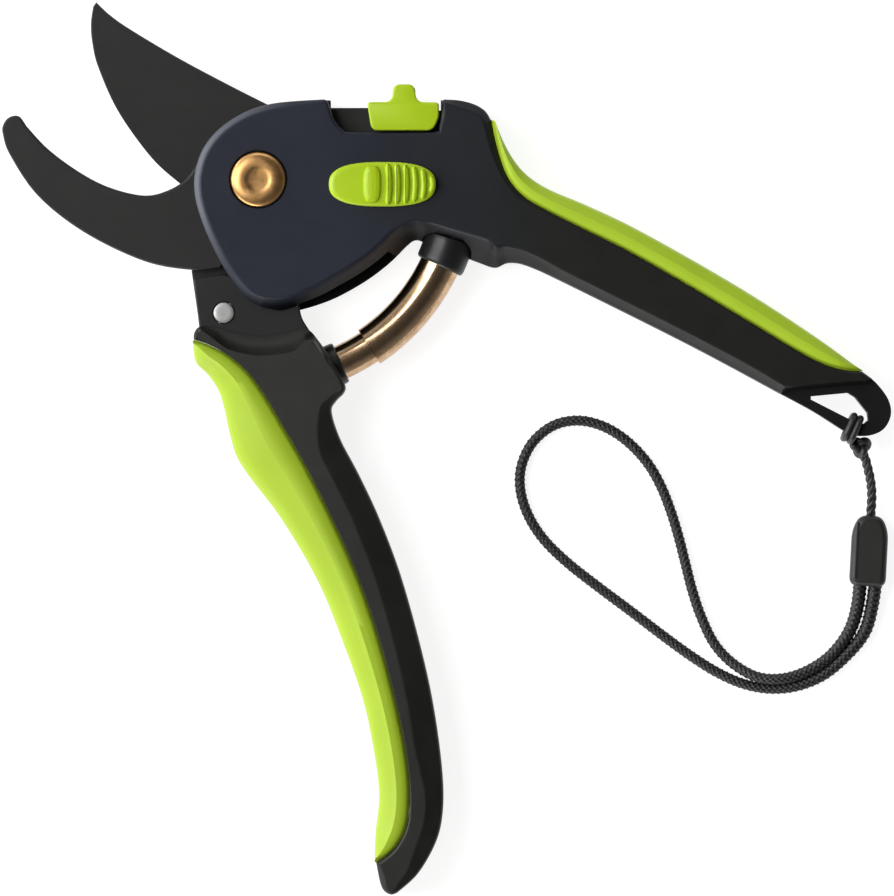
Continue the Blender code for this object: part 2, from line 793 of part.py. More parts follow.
def upper_fittings():
    """The grip on the upper handle, the sliding sleeve and the boot that guides it."""
    grip("upper_grip", UPPER_SEAM, UPPER_OUTER, -0.35, FINISHES["grip"])
    guide_tube("spring_sleeve", SLEEVE_R, SLEEVE_BORE_R, SLEEVE_ANGLES, FINISHES["tube"])
    guide_tube("spring_boot", 5.8, SLEEVE_R + 0.3, BOOT_ANGLES, FINISHES["plastic"])


def return_spring():
    """A compression spring wound along the guide's arc."""
    sides = 5
    per_turn = 9
    steps = SPRING_TURNS * per_turn
    work = bmesh.new()
    rings = []
    for step in range(steps + 1):
        angle = SPRING_ANGLES[0] + (SPRING_ANGLES[1] - SPRING_ANGLES[0]) * step / steps
        middle, outward, upward = guide_frame(angle)
        along = upward.cross(outward)
        turn = 2 * math.pi * step / per_turn
        radial = math.cos(turn) * outward + math.sin(turn) * upward
        centre = middle + SPRING_COIL_R * radial
        ring = []
        for side in range(sides):
            spin = 2 * math.pi * side / sides
            offset = SPRING_WIRE_R * (math.cos(spin) * radial + math.sin(spin) * along)
            ring.append(work.verts.new((centre + offset) * MM))
        rings.append(ring)
    for before, after in zip(rings, rings[1:]):
        bridge(work, before, after)
    work.faces.new(rings[0])
    work.faces.new(rings[-1][::-1])
    bmesh.ops.recalc_face_normals(work, faces=work.faces)
    keep("return_spring", work, FINISHES["steel"])


def lock():
    """The lock slider: a T plate in the notch, a bridge over the hook's tail and a foot at the blade's level."""
    made = prism("lock_slider", LOCK_PLATE, *LOCK_PLATE_Z, FINISHES["button"])
    bridge_part = prism("lock_bridge", LOCK_BRIDGE, BLADE_LEVEL[0], 14, cutter=True)
    foot = prism("lock_foot", LOCK_FOOT, *BLADE_LEVEL, cutter=True)
    boolean(made, bridge_part, "UNION")
    boolean(made, foot, "UNION")


def selector():
    """The oval selector button on the front face, with its stem, and the keeper behind the wall."""
    x, y = SELECTOR_AT
    oval = rounded_box((x, y), SELECTOR_SIZE, 4.6, 5)
    made = prism(
        "selector_button",
        oval,
        BODY_TOP + GAP,
        SELECTOR_TOP,
        FINISHES["button"],
        {"levels": ("front",), "where": lambda place: True},
        0.7,
    )
    stem = prism("selector_stem", rounded_box((x, y), STEM, 1.2, 2), POCKET_TOP, 17.5, cutter=True)
    boolean(made, stem, "UNION")
    prism("selector_keeper", rounded_box((x, y), KEEPER, 0.6, 1), 12.1, 13.1, FINISHES["plastic"])


def screws():
    """Pan-headed screws from the back, each with its own node."""
    profile = [(0, 0.8), (1.7, 0.8), (SCREW_HEAD_R, 1.2), (SCREW_HEAD_R, 2.3)]
    profile += [(SCREW_SHANK_R, 2.3), (SCREW_SHANK_R, 12.6), (0, 12.9)]
    for index, place in enumerate(SCREWS_AT, 1):
        turned(f"shell_screw_{index}", profile, place, FINISHES["steel"], 12)


def hitch_ring():
    """Points of the hitch's loop round the eye's lower bar."""
    turn = math.radians(HITCH_TURN)
    across = Vector((math.cos(turn), math.sin(turn), 0))
    found = []
    for step in range(20):
        t = 2 * math.pi * step / 20
        wide = abs(math.cos(t)) ** 0.4 * math.copysign(HITCH_SIZE[0], math.cos(t))
        tall = abs(math.sin(t)) ** 0.4 * math.copysign(HITCH_SIZE[1], math.sin(t))
        found.append(Vector(HITCH_AT) + across * wide + Vector((0, 0, tall)))
    return found


def lanyard():
    """The hitch on the eye, its knot and leader, the bead and the wrist loop."""
    cord("lanyard_hitch", hitch_ring(), HITCH_R, FINISHES["cord"], closed=True)
    work = bmesh.new()
    bmesh.ops.create_icosphere(work, subdivisions=2, radius=KNOT_R * MM)
    bmesh.ops.translate(work, verts=work.verts, vec=Vector(KNOT_AT) * MM)
    keep("lanyard_knot", work, FINISHES["cord"])
    cord("lanyard_leader", LEADER_ROUTE, LEADER_R, FINISHES["cord"], 8)
    cord("wrist_loop", LOOP_ROUTE, CORD_R, FINISHES["cord"], 56)
    width, length, depth = BEAD_SIZE
    low, high = BEAD_AT[2] - depth / 2, BEAD_AT[2] + depth / 2
    bead = prism(
        "lanyard_bead",
        rounded_box((0, 0), (width, length), 3.0),
        low,
        high,
        FINISHES["plastic"],
        {"levels": ("front", "back"), "where": lambda place: True},
        1.2,
    )
    bead.location = (BEAD_AT[0] * MM, BEAD_AT[1] * MM, 0)
    bead.rotation_euler = (0, 0, math.radians(BEAD_LEAN))


for stale in list(bpy.data.objects):
    bpy.data.objects.remove(stale)
FINISHES = finishes()
shells()
blade()
cheeks()
hook()
pivot_hardware()
rivet()
lever_handle()
upper_fittings()
return_spring()
lock()
selector()
screws()
lanyard()
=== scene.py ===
"""Bypass pruner lying on a pale bench, with its lever open and its wrist cord laid beside it.

Lengths in the tables are millimetres; the frame is in metres, with the pivot's axis as its origin.
"""

import math

import bpy
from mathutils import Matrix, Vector


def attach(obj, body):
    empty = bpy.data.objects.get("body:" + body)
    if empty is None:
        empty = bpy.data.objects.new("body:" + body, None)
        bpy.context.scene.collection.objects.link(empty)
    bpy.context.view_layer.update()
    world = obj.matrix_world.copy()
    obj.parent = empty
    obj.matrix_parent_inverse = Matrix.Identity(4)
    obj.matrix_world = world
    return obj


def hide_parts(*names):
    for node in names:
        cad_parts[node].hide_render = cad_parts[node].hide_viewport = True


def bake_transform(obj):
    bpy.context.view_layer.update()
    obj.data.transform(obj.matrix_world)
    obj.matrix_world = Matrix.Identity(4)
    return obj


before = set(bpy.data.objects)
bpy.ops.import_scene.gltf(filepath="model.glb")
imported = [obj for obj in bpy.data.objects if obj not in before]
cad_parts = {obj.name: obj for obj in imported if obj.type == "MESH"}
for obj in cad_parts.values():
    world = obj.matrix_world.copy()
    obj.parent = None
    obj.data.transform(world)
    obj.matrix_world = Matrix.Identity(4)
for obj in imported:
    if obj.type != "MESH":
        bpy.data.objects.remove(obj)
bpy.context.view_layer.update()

MM = 0.001
SPACING = 0.65

# Heights above the bench, from the back face up.
BODY_TOP = 16.0
FRONT_FOOT = 8.15
BACK_HEAD = 7.85
FOOT_BREAK = 0.3
BLADE_LOW = 5.2
BLADE_HIGH = 7.8
JAW_LOW = 8.2
JAW_HIGH = 11.3

# The spring guide's arc about the pivot.
GUIDE_RADIUS = 45.0
GUIDE_HEIGHT = 8.0
BORE_RADIUS = 5.5

# The view from above, in metres.
VIEW_CENTRE = (0.0424, -0.0603, 0.0)
VIEW_TALL = 0.2016
CAMERA_HEIGHT = 2.6
CAMERA_FOCUS = 0.010
SENSOR = 36.0


# ---------------------------------------------------------------- lines and outlines


def flow(points, steps=10):
    """A smooth curve through the given points."""
    ends = [points[0], *points, points[-1]]
    found = []
    for start in range(len(points) - 1):
        a, b, c, d = (Vector(p) for p in ends[start : start + 4])
        for step in range(steps):
            t = step / steps
            bend = (2 * a - 5 * b + 4 * c - d) * t**2 + (3 * b - a - 3 * c + d) * t**3
            found.append(0.5 * (2 * b + (c - a) * t + bend))
    return [*found, Vector(points[-1])]


def evenly(points, count):
    """That many points, evenly spaced along a smooth curve."""
    dense = flow(points)
    reach = [0.0]
    for before, after in zip(dense, dense[1:]):
        reach.append(reach[-1] + (after - before).length)
    found = []
    at = 0
    for index in range(count):
        goal = reach[-1] * index / (count - 1)
        while at < len(dense) - 2 and reach[at + 1] < goal:
            at += 1
        part = (goal - reach[at]) / max(reach[at + 1] - reach[at], 1e-9)
        found.append(dense[at].lerp(dense[at + 1], part))
    return found


def length_of(points):
    """Length of a smooth curve through the points."""
    dense = flow(points)
    return sum((after - before).length for before, after in zip(dense, dense[1:]))


def circle(centre, radius, count):
    """Points evenly round a circle."""
    turns = [2 * math.pi * i / count for i in range(count)]
    return [(centre[0] + radius * math.cos(t), centre[1] + radius * math.sin(t)) for t in turns]


def arc(radius, start, end, count):
    """Points on a circle about the pivot, in degrees from +X."""
    angles = [math.radians(start + (end - start) * i / (count - 1)) for i in range(count)]
    return [(radius * math.cos(a), radius * math.sin(a)) for a in angles]


def smoothed(ring, passes):
    """A closed line with its points averaged with their neighbours a few times."""
    for _ in range(passes):
        ring = [(ring[i - 1] + 2 * ring[i] + ring[(i + 1) % len(ring)]) / 4 for i in range(len(ring))]
    return ring


def rounded_corners(points, radius, steps=4):
    """A polygon with each corner turned into a short curve."""
    found = []
    count = len(points)
    for index, point in enumerate(points):
        here = Vector(point)
        before = Vector(points[index - 1])
        after = Vector(points[(index + 1) % count])
        start = here + (before - here).normalized() * min(radius, (before - here).length * 0.45)
        end = here + (after - here).normalized() * min(radius, (after - here).length * 0.45)
        for step in range(steps + 1):
            t = step / steps
            found.append((1 - t) ** 2 * start + 2 * t * (1 - t) * here + t * t * end)
    return found


def oval(centre, size, power):
    """A closed oval line that is squarer than an ellipse."""
    count = 96
    points = []
    for step in range(count + 1):
        t = 2 * math.pi * step / count
        across = math.copysign(abs(math.cos(t)) ** (2 / power), math.cos(t)) * size[0] / 2
        up = math.copysign(abs(math.sin(t)) ** (2 / power), math.sin(t)) * size[1] / 2
        points.append((centre[0] + across, centre[1] - up))
    return points


def blended(styles, part):
    """The rim style part of the way along a run, from a list of styles spread evenly over it."""
    if len(styles) == 1:
        return styles[0]
    place = part * (len(styles) - 1)
    index = min(int(place), len(styles) - 2)
    t = place - index
    pairs = zip(styles[index], styles[index + 1])
    return [(a[0] + (b[0] - a[0]) * t, a[1] + (b[1] - a[1]) * t) for a, b in pairs]


def traced(runs, spacing=SPACING):
    """A closed outline from runs that meet end to end, with the rim style at each of its points."""
    places = []
    styles = []
    for points, rims in runs:
        count = max(2, round(length_of(points) / spacing) + 1)
        line = evenly(points, count)
        for index, place in enumerate(line[:-1]):
            places.append(place)
            styles.append(blended(rims, index / (count - 1)))
    following = [*places[1:], places[0]]
    area = sum(a.x * b.y - b.x * a.y for a, b in zip(places, following))
    if area < 0:
        places.reverse()
        styles.reverse()
    return places, styles


def mitres(places):
    """At each point of an outline, the step that moves it in by one millimetre."""
    found = []
    count = len(places)
    for index, place in enumerate(places):
        before = (place - places[index - 1]).normalized()
        after = (places[(index + 1) % count] - place).normalized()
        sides = [Vector((-way.y, way.x)) for way in (before, after)]
        found.append((sides[0] + sides[1]) / max(1 + sides[0].dot(sides[1]), 0.7))
    return found


def eased(steps, reach):
    """The steps averaged with their neighbours, so that a deep rim doesn't cross itself."""
    if reach < 1:
        return steps
    count = len(steps)
    found = []
    for index in range(count):
        near = [steps[(index + shift) % count] for shift in range(-reach, reach + 1)]
        found.append(sum(near, Vector((0, 0))) / len(near))
    return found


def straight(points, style):
    """Straight runs from point to point."""
    return [([a, b], [style]) for a, b in zip(points, points[1:])]


def box_runs(centre, size, corner, style):
    """Runs of a rectangle with round corners."""
    runs = []
    corners = ((1, 1, 0), (-1, 1, 90), (-1, -1, 180), (1, -1, 270))
    rounds = []
    for sign_x, sign_y, start in corners:
        middle = (centre[0] + sign_x * (size[0] / 2 - corner), centre[1] + sign_y * (size[1] / 2 - corner))
        turns = [math.radians(start + 15 * step) for step in range(7)]
        rounds.append([(middle[0] + corner * math.cos(t), middle[1] + corner * math.sin(t)) for t in turns])
    for index, points in enumerate(rounds):
        runs.append((points, [style]))
        runs.append(([points[-1], rounds[(index + 1) % 4][0]], [style]))
    return runs


# ---------------------------------------------------------------- modelling


def nothing_selected():
    """Deselect everything, so that an operator acts only on what follows."""
    bpy.ops.object.select_all(action="DESELECT")


def only(piece):
    """Select one piece and make it the active one."""
    nothing_selected()
    piece.select_set(True)
    bpy.context.view_layer.objects.active = piece


def wrapped(name, rows, closed=False):
    """A grid wrapped round a row of rings, then welded along its seam and filled at both ends."""
    rows = [*rows, rows[0]] if closed else rows
    around = len(rows[0])
    nothing_selected()
    bpy.ops.mesh.primitive_grid_add(x_subdivisions=around, y_subdivisions=len(rows) - 1, size=1)
    piece = bpy.context.object
    piece.name = piece.data.name = name
    places = []
    for row in rows:
        for point in [*row, row[0]]:
            places += [point[0] * MM, point[1] * MM, point[2] * MM]
    piece.data.vertices.foreach_set("co", places)
    bpy.ops.object.mode_set(mode="EDIT")
    bpy.ops.mesh.select_all(action="SELECT")
    bpy.ops.mesh.remove_doubles(threshold=0.000002)
    if not closed:
        bpy.ops.mesh.fill_holes(sides=0)
    bpy.ops.mesh.select_all(action="SELECT")
    bpy.ops.mesh.normals_make_consistent(inside=False)
    bpy.ops.object.mode_set(mode="OBJECT")
    return piece


def plate(name, runs, spacing=SPACING):
    """A shaped plate: the outline is drawn in and up through the rings of its rim styles."""
    places, styles = traced(runs, spacing)
    steps = mitres(places)
    rows = []
    for ring in range(len(styles[0])):
        deepest = max(abs(style[ring][0]) for style in styles)
        moves = [step * style[ring][0] for step, style in zip(steps, styles)]
        moves = eased(moves, int(deepest / spacing * 0.6) if deepest > 1.2 else 0)
        row = zip(places, moves, styles)
        rows.append([(*(place + move), style[ring][1]) for place, move, style in row])
    return wrapped(name, rows)


def turned(name, profile, centre=(0, 0), count=64):
    """A turned piece about an upright axis: its profile runs as (radius, height)."""
    tip = 0.0005
    rows = []
    for radius, height in profile:
        rows.append([(*place, height) for place in circle(centre, max(radius, tip), count)])
    return wrapped(name, rows)


def rounding(width, drop, rings):
    """A quarter round from a wall in to a face, as steps in and falls below the face."""
    turns = [math.pi / 2 * step / rings for step in range(rings + 1)]
    return [(width * (1 - math.cos(t)), drop * (1 - math.sin(t))) for t in turns]


def front_wall():
    """The foot of a front half's wall, with its edge just broken."""
    return [(FOOT_BREAK, FRONT_FOOT), (0.0, FRONT_FOOT + FOOT_BREAK)]


def rim(size):
    """A rounded upper edge, from a small break at the foot of the wall up to a flat face."""
    edge = [(inset, BODY_TOP - fall) for inset, fall in rounding(size, size, 6)]
    return [*front_wall(), *edge, (size + 0.25, BODY_TOP)]


def lower_rim(size):
    """A rounded lower edge, from a flat face up to a small break at the head of the wall."""
    edge = rounding(size, size, 6)[::-1]
    return [(size + 0.25, 0.0), *edge, (0.0, BACK_HEAD - FOOT_BREAK), (FOOT_BREAK, BACK_HEAD)]


def both_rims(width, drop, low, high, rings):
    """Rounded edges, lower and upper."""
    edge = rounding(width, drop, rings)
    lower = [(inset, low + rise) for inset, rise in reversed(edge)]
    upper = [(inset, high - fall) for inset, fall in edge]
    return [(width + 0.2, low), *lower, *upper, (width + 0.2, high)]


def square(low, high, break_edge):
    """A plain wall with its edges just broken."""
    return [
        (break_edge + 0.15, low),
        (break_edge, low),
        (0.0, low + break_edge),
        (0.0, high - break_edge),
        (break_edge, high),
        (break_edge + 0.15, high),
    ]


def trimmed(piece, tool, operation="DIFFERENCE"):
    """Cut a tool out of a piece, or weld it on, and clear the tool away."""
    only(piece)
    step = piece.modifiers.new("cut", "BOOLEAN")
    step.operation = operation
    step.solver = "EXACT"
    step.object = tool
    bpy.ops.object.modifier_apply(modifier=step.name)
    bpy.data.objects.remove(tool)
    return piece


def gathered(name, pieces):
    """Join several meshes into one piece."""
    nothing_selected()
    for piece in pieces:
        piece.select_set(True)
    bpy.context.view_layer.objects.active = pieces[0]
    bpy.ops.object.join()
    joined = bpy.context.object
    joined.name = joined.data.name = name
    return joined


def drum(points, low, high):
    """A straight-sided cutter over a polygon."""
    return wrapped("cutter", [[(x, y, height) for x, y in points] for height in (low, high)])


def disc(centre, radius, low, high, count=48):
    """A round cutter."""
    return drum(circle(centre, radius, count), low, high)


def guide_rows(stations, count=48):
    """Rings round the spring guide's arc: each station is an angle about the pivot and a radius."""
    rows = []
    for angle, radius in stations:
        turn = math.radians(angle)
        row = []
        for index in range(count):
            t = 2 * math.pi * index / count
            reach = GUIDE_RADIUS + radius * math.cos(t)
            row.append((reach * math.cos(turn), reach * math.sin(turn), GUIDE_HEIGHT + radius * math.sin(t)))
        rows.append(row)
    return rows


def swept(start, end):
    """Angles from start to end, in even steps of about a degree."""
    count = max(2, round(abs(end - start)))
    return [start + (end - start) * i / count for i in range(count + 1)]


def along_guide(start, end, radius):
    """Stations of one radius along the spring guide's arc."""
    return [(angle, radius) for angle in swept(start, end)]


def finished(piece, body, look, nodes, sharp=32):
    """Give a piece its material and shading, hang it on the body it rides on and hide the parts it stands
    for.
    """
    only(piece)
    piece.data.materials.clear()
    piece.data.materials.append(look)
    bpy.ops.object.shade_smooth_by_angle(angle=math.radians(sharp))
    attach(piece, body)
    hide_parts(*nodes)
    return piece


# ---------------------------------------------------------------- materials


def paint(name, colour, roughness, metallic=0.0):
    """A named material with its Principled shader."""
    made = bpy.data.materials.new(name)
    made.use_nodes = True
    shader = made.node_tree.nodes["Principled BSDF"]
    shader.inputs["Base Color"].default_value = (*colour, 1.0)
    shader.inputs["Roughness"].default_value = roughness
    shader.inputs["Metallic"].default_value = metallic
    return made, made.node_tree, shader


def grain_map(tree, turn=0.0, stretch=(1.0, 1.0, 1.0)):
    """Object coordinates, turned about Z and stretched."""
    place = tree.nodes.new("ShaderNodeTexCoord")
    mapping = tree.nodes.new("ShaderNodeMapping")
    mapping.inputs["Rotation"].default_value = (0.0, 0.0, math.radians(turn))
    mapping.inputs["Scale"].default_value = stretch
    tree.links.new(place.outputs["Object"], mapping.inputs["Vector"])
    return mapping.outputs["Vector"]


def noise(tree, where, scale, detail=4.0, rough=0.55):
    """A noise texture's value."""
    made = tree.nodes.new("ShaderNodeTexNoise")
    made.inputs["Scale"].default_value = scale
    made.inputs["Detail"].default_value = detail
    made.inputs["Roughness"].default_value = rough
    tree.links.new(where, made.inputs["Vector"])
    return made.outputs["Fac"]


def ranged(tree, value, low, high, start=0.3, end=0.7):
    """A value spread between two others."""
    made = tree.nodes.new("ShaderNodeMapRange")
    made.inputs["From Min"].default_value = start
    made.inputs["From Max"].default_value = end
    made.inputs["To Min"].default_value = low
    made.inputs["To Max"].default_value = high
    tree.links.new(value, made.inputs["Value"])
    return made.outputs["Result"]


def product(tree, *values):
    """Several values multiplied together."""
    whole = values[0]
    for value in values[1:]:
        made = tree.nodes.new("ShaderNodeMath")
        made.operation = "MULTIPLY"
        tree.links.new(whole, made.inputs[0])
        tree.links.new(value, made.inputs[1])
        whole = made.outputs["Value"]
    return whole


def two_tone(tree, factor, first, second):
    """A colour between two, by a factor."""
    made = tree.nodes.new("ShaderNodeMix")
    made.data_type = "RGBA"
    for socket, colour in (("A_Color", first), ("B_Color", second)):
        found = next(s for s in made.inputs if s.identifier == socket)
        if isinstance(colour, bpy.types.NodeSocket):
            tree.links.new(colour, found)
        else:
            found.default_value = (*colour, 1.0)
    tree.links.new(factor, next(s for s in made.inputs if s.identifier == "Factor_Float"))
    return next(s for s in made.outputs if s.identifier == "Result_Color")


def relief(tree, shader, value, depth, strength, under=None):
    """Bump from a value, over another bump if there is one."""
    made = tree.nodes.new("ShaderNodeBump")
    made.inputs["Strength"].default_value = strength
    made.inputs["Distance"].default_value = depth * MM
    tree.links.new(value, made.inputs["Height"])
    if under is not None:
        tree.links.new(under, made.inputs["Normal"])
    tree.links.new(made.outputs["Normal"], shader.inputs["Normal"])
    return made.outputs["Normal"]


def moulded(name, colour, worn, roughness, grain=2600.0, depth=0.012, sheen=0.0):
    """Moulded plastic or rubber: a fine spark-eroded grain, faint flow marks and slightly uneven gloss."""
    made, tree, shader = paint(name, colour, roughness)
    where = grain_map(tree)
    cloud = noise(tree, where, 55.0, 3.0)
    fine = noise(tree, where, grain, 3.0, 0.6)
    tree.links.new(two_tone(tree, ranged(tree, cloud, 0.0, 1.0), colour, worn), shader.inputs["Base Color"])
    gloss = ranged(tree, noise(tree, where, 240.0, 4.0), roughness - 0.04, roughness + 0.05)
    tree.links.new(gloss, shader.inputs["Roughness"])
    relief(tree, shader, fine, depth, 0.5)
    shader.inputs["Sheen Weight"].default_value = sheen
    shader.inputs["Specular IOR Level"].default_value = 0.34
    return made


def head_plastic():
    """The head's charcoal plastic: black along the upper handle, with painted shade darkening its side walls
    and a painted highlight along its left rim.
    """
    fade_to_black = (0.018, 0.066)
    # Heights over which the side walls fade from painted shade up to the face's own colour.
    flank = (0.0120, 0.0158)
    # Where the left rim takes its painted highlight: a band of heights on the rounded rim, fading out to the
    # right and towards the bottom.
    rim_foot, rim_head = (0.0140, 0.0146), (0.0154, 0.01598)
    rim_right, rim_low = (-0.012, 0.008), (-0.020, -0.006)
    made, tree, shader = paint("charcoal_to_black", (0.03, 0.03, 0.04), 0.42)
    where = grain_map(tree)
    axes = tree.nodes.new("ShaderNodeSeparateXYZ")
    tree.links.new(where, axes.inputs["Vector"])
    fade = ranged(tree, axes.outputs["X"], 0.0, 1.0, *fade_to_black)
    cloud = ranged(tree, noise(tree, where, 45.0, 3.0), 0.0, 1.0)
    charcoal = two_tone(tree, cloud, (0.0095, 0.012, 0.021), (0.0125, 0.015, 0.024))
    black = two_tone(tree, cloud, (0.0050, 0.0052, 0.0042), (0.0072, 0.0074, 0.0060))
    face = two_tone(tree, fade, charcoal, black)
    # Painted shade: the walls below the face are darkened towards the bench.
    depth = ranged(tree, axes.outputs["Z"], 0.0, 1.0, *flank)
    shaded = two_tone(tree, depth, (0.0025, 0.0025, 0.0028), face)
    # Painted highlight: the left rounded rim is painted paler where light from the left would catch it.
    painted_rim_highlight = product(
        tree,
        ranged(tree, axes.outputs["Z"], 0.0, 1.0, *rim_foot),
        ranged(tree, axes.outputs["Z"], 1.0, 0.0, *rim_head),
        ranged(tree, axes.outputs["X"], 1.0, 0.0, *rim_right),
        ranged(tree, axes.outputs["Y"], 0.1, 1.0, *rim_low),
    )
    tree.links.new(two_tone(tree, painted_rim_highlight, shaded, (0.085, 0.090, 0.105)), shader.inputs["Base Color"])
    gloss = ranged(tree, noise(tree, where, 240.0, 4.0), 0.40, 0.48)
    tree.links.new(gloss, shader.inputs["Roughness"])
    shader.inputs["Specular IOR Level"].default_value = 0.2
    relief(tree, shader, noise(tree, where, 3200.0, 3.0, 0.6), 0.010, 0.45)
    return made


def coated_steel(name, along):
    """Black non-stick coat over ground steel, with the grinding lines showing through along the blade."""
    made, tree, shader = paint(name, (0.011, 0.011, 0.010), 0.42, 0.1)
    lines = noise(tree, grain_map(tree, -along, (60.0, 2600.0, 800.0)), 1.0, 5.0, 0.65)
    where = grain_map(tree)
    cloud = noise(tree, where, 70.0, 4.0)
    base = two_tone(tree, ranged(tree, cloud, 0.0, 1.0), (0.0055, 0.0055, 0.0050), (0.0085, 0.0085, 0.0078))
    streak = two_tone(tree, ranged(tree, lines, 0.0, 0.35), base, (0.015, 0.0148, 0.0143))
    tree.links.new(streak, shader.inputs["Base Color"])
    tree.links.new(ranged(tree, lines, 0.40, 0.54), shader.inputs["Roughness"])
    shader.inputs["Specular IOR Level"].default_value = 0.3
    ground = relief(tree, shader, lines, 0.004, 0.5)
    relief(tree, shader, noise(tree, where, 4200.0, 2.0), 0.005, 0.4, ground)
    return made


def turned_copper():
    """Satin copper with faint rings from the lathe."""
    made, tree, shader = paint("satin_copper", (0.60, 0.30, 0.13), 0.34, 1.0)
    where = grain_map(tree)
    rings = tree.nodes.new("ShaderNodeTexWave")
    rings.wave_type = "RINGS"
    rings.rings_direction = "Z"
    rings.inputs["Scale"].default_value = 900.0
    rings.inputs["Distortion"].default_value = 0.6
    tree.links.new(where, rings.inputs["Vector"])
    cloud = ranged(tree, noise(tree, where, 300.0, 4.0), 0.0, 1.0)
    tree.links.new(two_tone(tree, cloud, (0.46, 0.25, 0.09), (0.56, 0.32, 0.13)), shader.inputs["Base Color"])
    tree.links.new(ranged(tree, noise(tree, where, 900.0, 3.0), 0.30, 0.40), shader.inputs["Roughness"])
    relief(tree, shader, rings.outputs["Fac"], 0.004, 0.35)
    shader.inputs["Anisotropic"].default_value = 0.2
    return made


def drawn_bronze(name, dark, light):
    """Polished bronze-gold tube, with faint scuffs from sliding."""
    made, tree, shader = paint(name, light, 0.16, 1.0)
    where = grain_map(tree)
    scuffs = noise(tree, where, 420.0, 5.0, 0.7)
    worn = two_tone(tree, ranged(tree, scuffs, 0.0, 1.0, 0.35, 0.75), light, dark)
    tree.links.new(worn, shader.inputs["Base Color"])
    tree.links.new(ranged(tree, scuffs, 0.13, 0.22), shader.inputs["Roughness"])
    relief(tree, shader, noise(tree, where, 1500.0, 2.0), 0.001, 0.15)
    return made


def plain_steel(name, tone=0.55, roughness=0.38):
    """Plain steel with a fine brushed grain and small dull spots."""
    made, tree, shader = paint(name, (tone, tone, tone), roughness, 1.0)
    where = grain_map(tree)
    brushed = noise(tree, grain_map(tree, 20.0, (300.0, 3500.0, 900.0)), 1.0, 4.0)
    spots = ranged(tree, noise(tree, where, 700.0, 4.0), 0.0, 1.0)
    dull = (tone * 0.82, tone * 0.82, tone * 0.8)
    tree.links.new(two_tone(tree, spots, (tone, tone, tone * 0.98), dull), shader.inputs["Base Color"])
    tree.links.new(ranged(tree, brushed, roughness - 0.06, roughness + 0.1), shader.inputs["Roughness"])
    relief(tree, shader, brushed, 0.004, 0.4)
    return made


def braided_cord(name):
    """Black polyester braid, faintly shiny, with painted shade darkening its furrows and its raised strands
    painted lighter as a painted highlight.
    """
    made, tree, shader = paint(name, (0.012, 0.012, 0.012), 0.5)
    where = grain_map(tree)
    height = tree.nodes.new("ShaderNodeAttribute")
    height.attribute_name = "strand_height"
    fibre = noise(tree, where, 5200.0, 3.0, 0.7)
    # Painted shade in the braid's furrows and a painted highlight on its raised strands, by each point's
    # strand height.
    furrow_shade_and_ridge_light = two_tone(tree, height.outputs["Fac"], (0.001, 0.001, 0.001), (0.022, 0.022, 0.021))
    tree.links.new(furrow_shade_and_ridge_light, shader.inputs["Base Color"])
    tree.links.new(ranged(tree, fibre, 0.34, 0.55), shader.inputs["Roughness"])
    relief(tree, shader, fibre, 0.03, 0.6)
    shader.inputs["Specular IOR Level"].default_value = 0.4
    return made


def bench_top():
    """Pale bench: nearly white and quite matt."""
    made, tree, shader = paint("pale_bench", (0.30, 0.30, 0.30), 0.9)
    where = grain_map(tree)
    tree.links.new(ranged(tree, noise(tree, where, 40.0), 0.86, 0.94), shader.inputs["Roughness"])
    shader.inputs["Emission Color"].default_value = (1.0, 1.0, 0.995, 1.0)
    shader.inputs["Emission Strength"].default_value = 0.86
    shader.inputs["Specular IOR Level"].default_value = 0.1
    return made


# ---------------------------------------------------------------- camera, bench and light


def soft_box(name, place, size, power, tint=(1.0, 1.0, 1.0)):
    """A soft area light that faces the tool."""
    nothing_selected()
    bpy.ops.object.light_add(type="AREA", location=place)
    light = bpy.context.object
    light.name = name
    light.data.shape = "RECTANGLE"
    light.data.size, light.data.size_y = size
    light.data.energy = power
    light.data.color = tint
    towards = Vector(VIEW_CENTRE) - light.location
    light.rotation_euler = towards.to_track_quat("-Z", "Y").to_euler()
    return light


def studio():
    """Camera straight above, pale bench, soft overhead and side light."""
    nothing_selected()
    bpy.ops.object.camera_add(location=(*VIEW_CENTRE[:2], CAMERA_HEIGHT))
    camera = bpy.context.object
    camera.name = "camera_above"
    camera.data.sensor_fit = "VERTICAL"
    camera.data.sensor_height = SENSOR
    camera.data.lens = SENSOR * (CAMERA_HEIGHT - CAMERA_FOCUS) / VIEW_TALL
    camera.data.clip_end = 20.0
    bpy.context.scene.camera = camera
    nothing_selected()
    bpy.ops.mesh.primitive_plane_add(size=6.0, location=(0.04, -0.06, -0.0003))
    bench = bpy.context.object
    bench.name = "bench"
    bench.data.materials.append(bench_top())
    soft_box("key_left", (-0.80, 0.10, 0.95), (0.8, 1.0), 16.0)
    soft_box("strip_left", (-1.05, 0.35, 0.22), (1.3, 0.24), 9.0, (0.92, 0.96, 1.0))
    soft_box("strip_below", (-0.55, -1.15, 0.20), (1.2, 0.2), 11.0)
    soft_box("light_above", (0.15, 1.25, 0.55), (1.2, 0.4), 3.5)
    gleam = soft_box("tube_gleam", (-0.62, 0.44, 1.75), (0.14, 1.5), 4.5)
    gleam.rotation_euler.rotate_axis("Z", math.radians(-45.0))
    bpy.context.scene.world = dim_room()
    bpy.context.scene.view_settings.view_transform = "Standard"


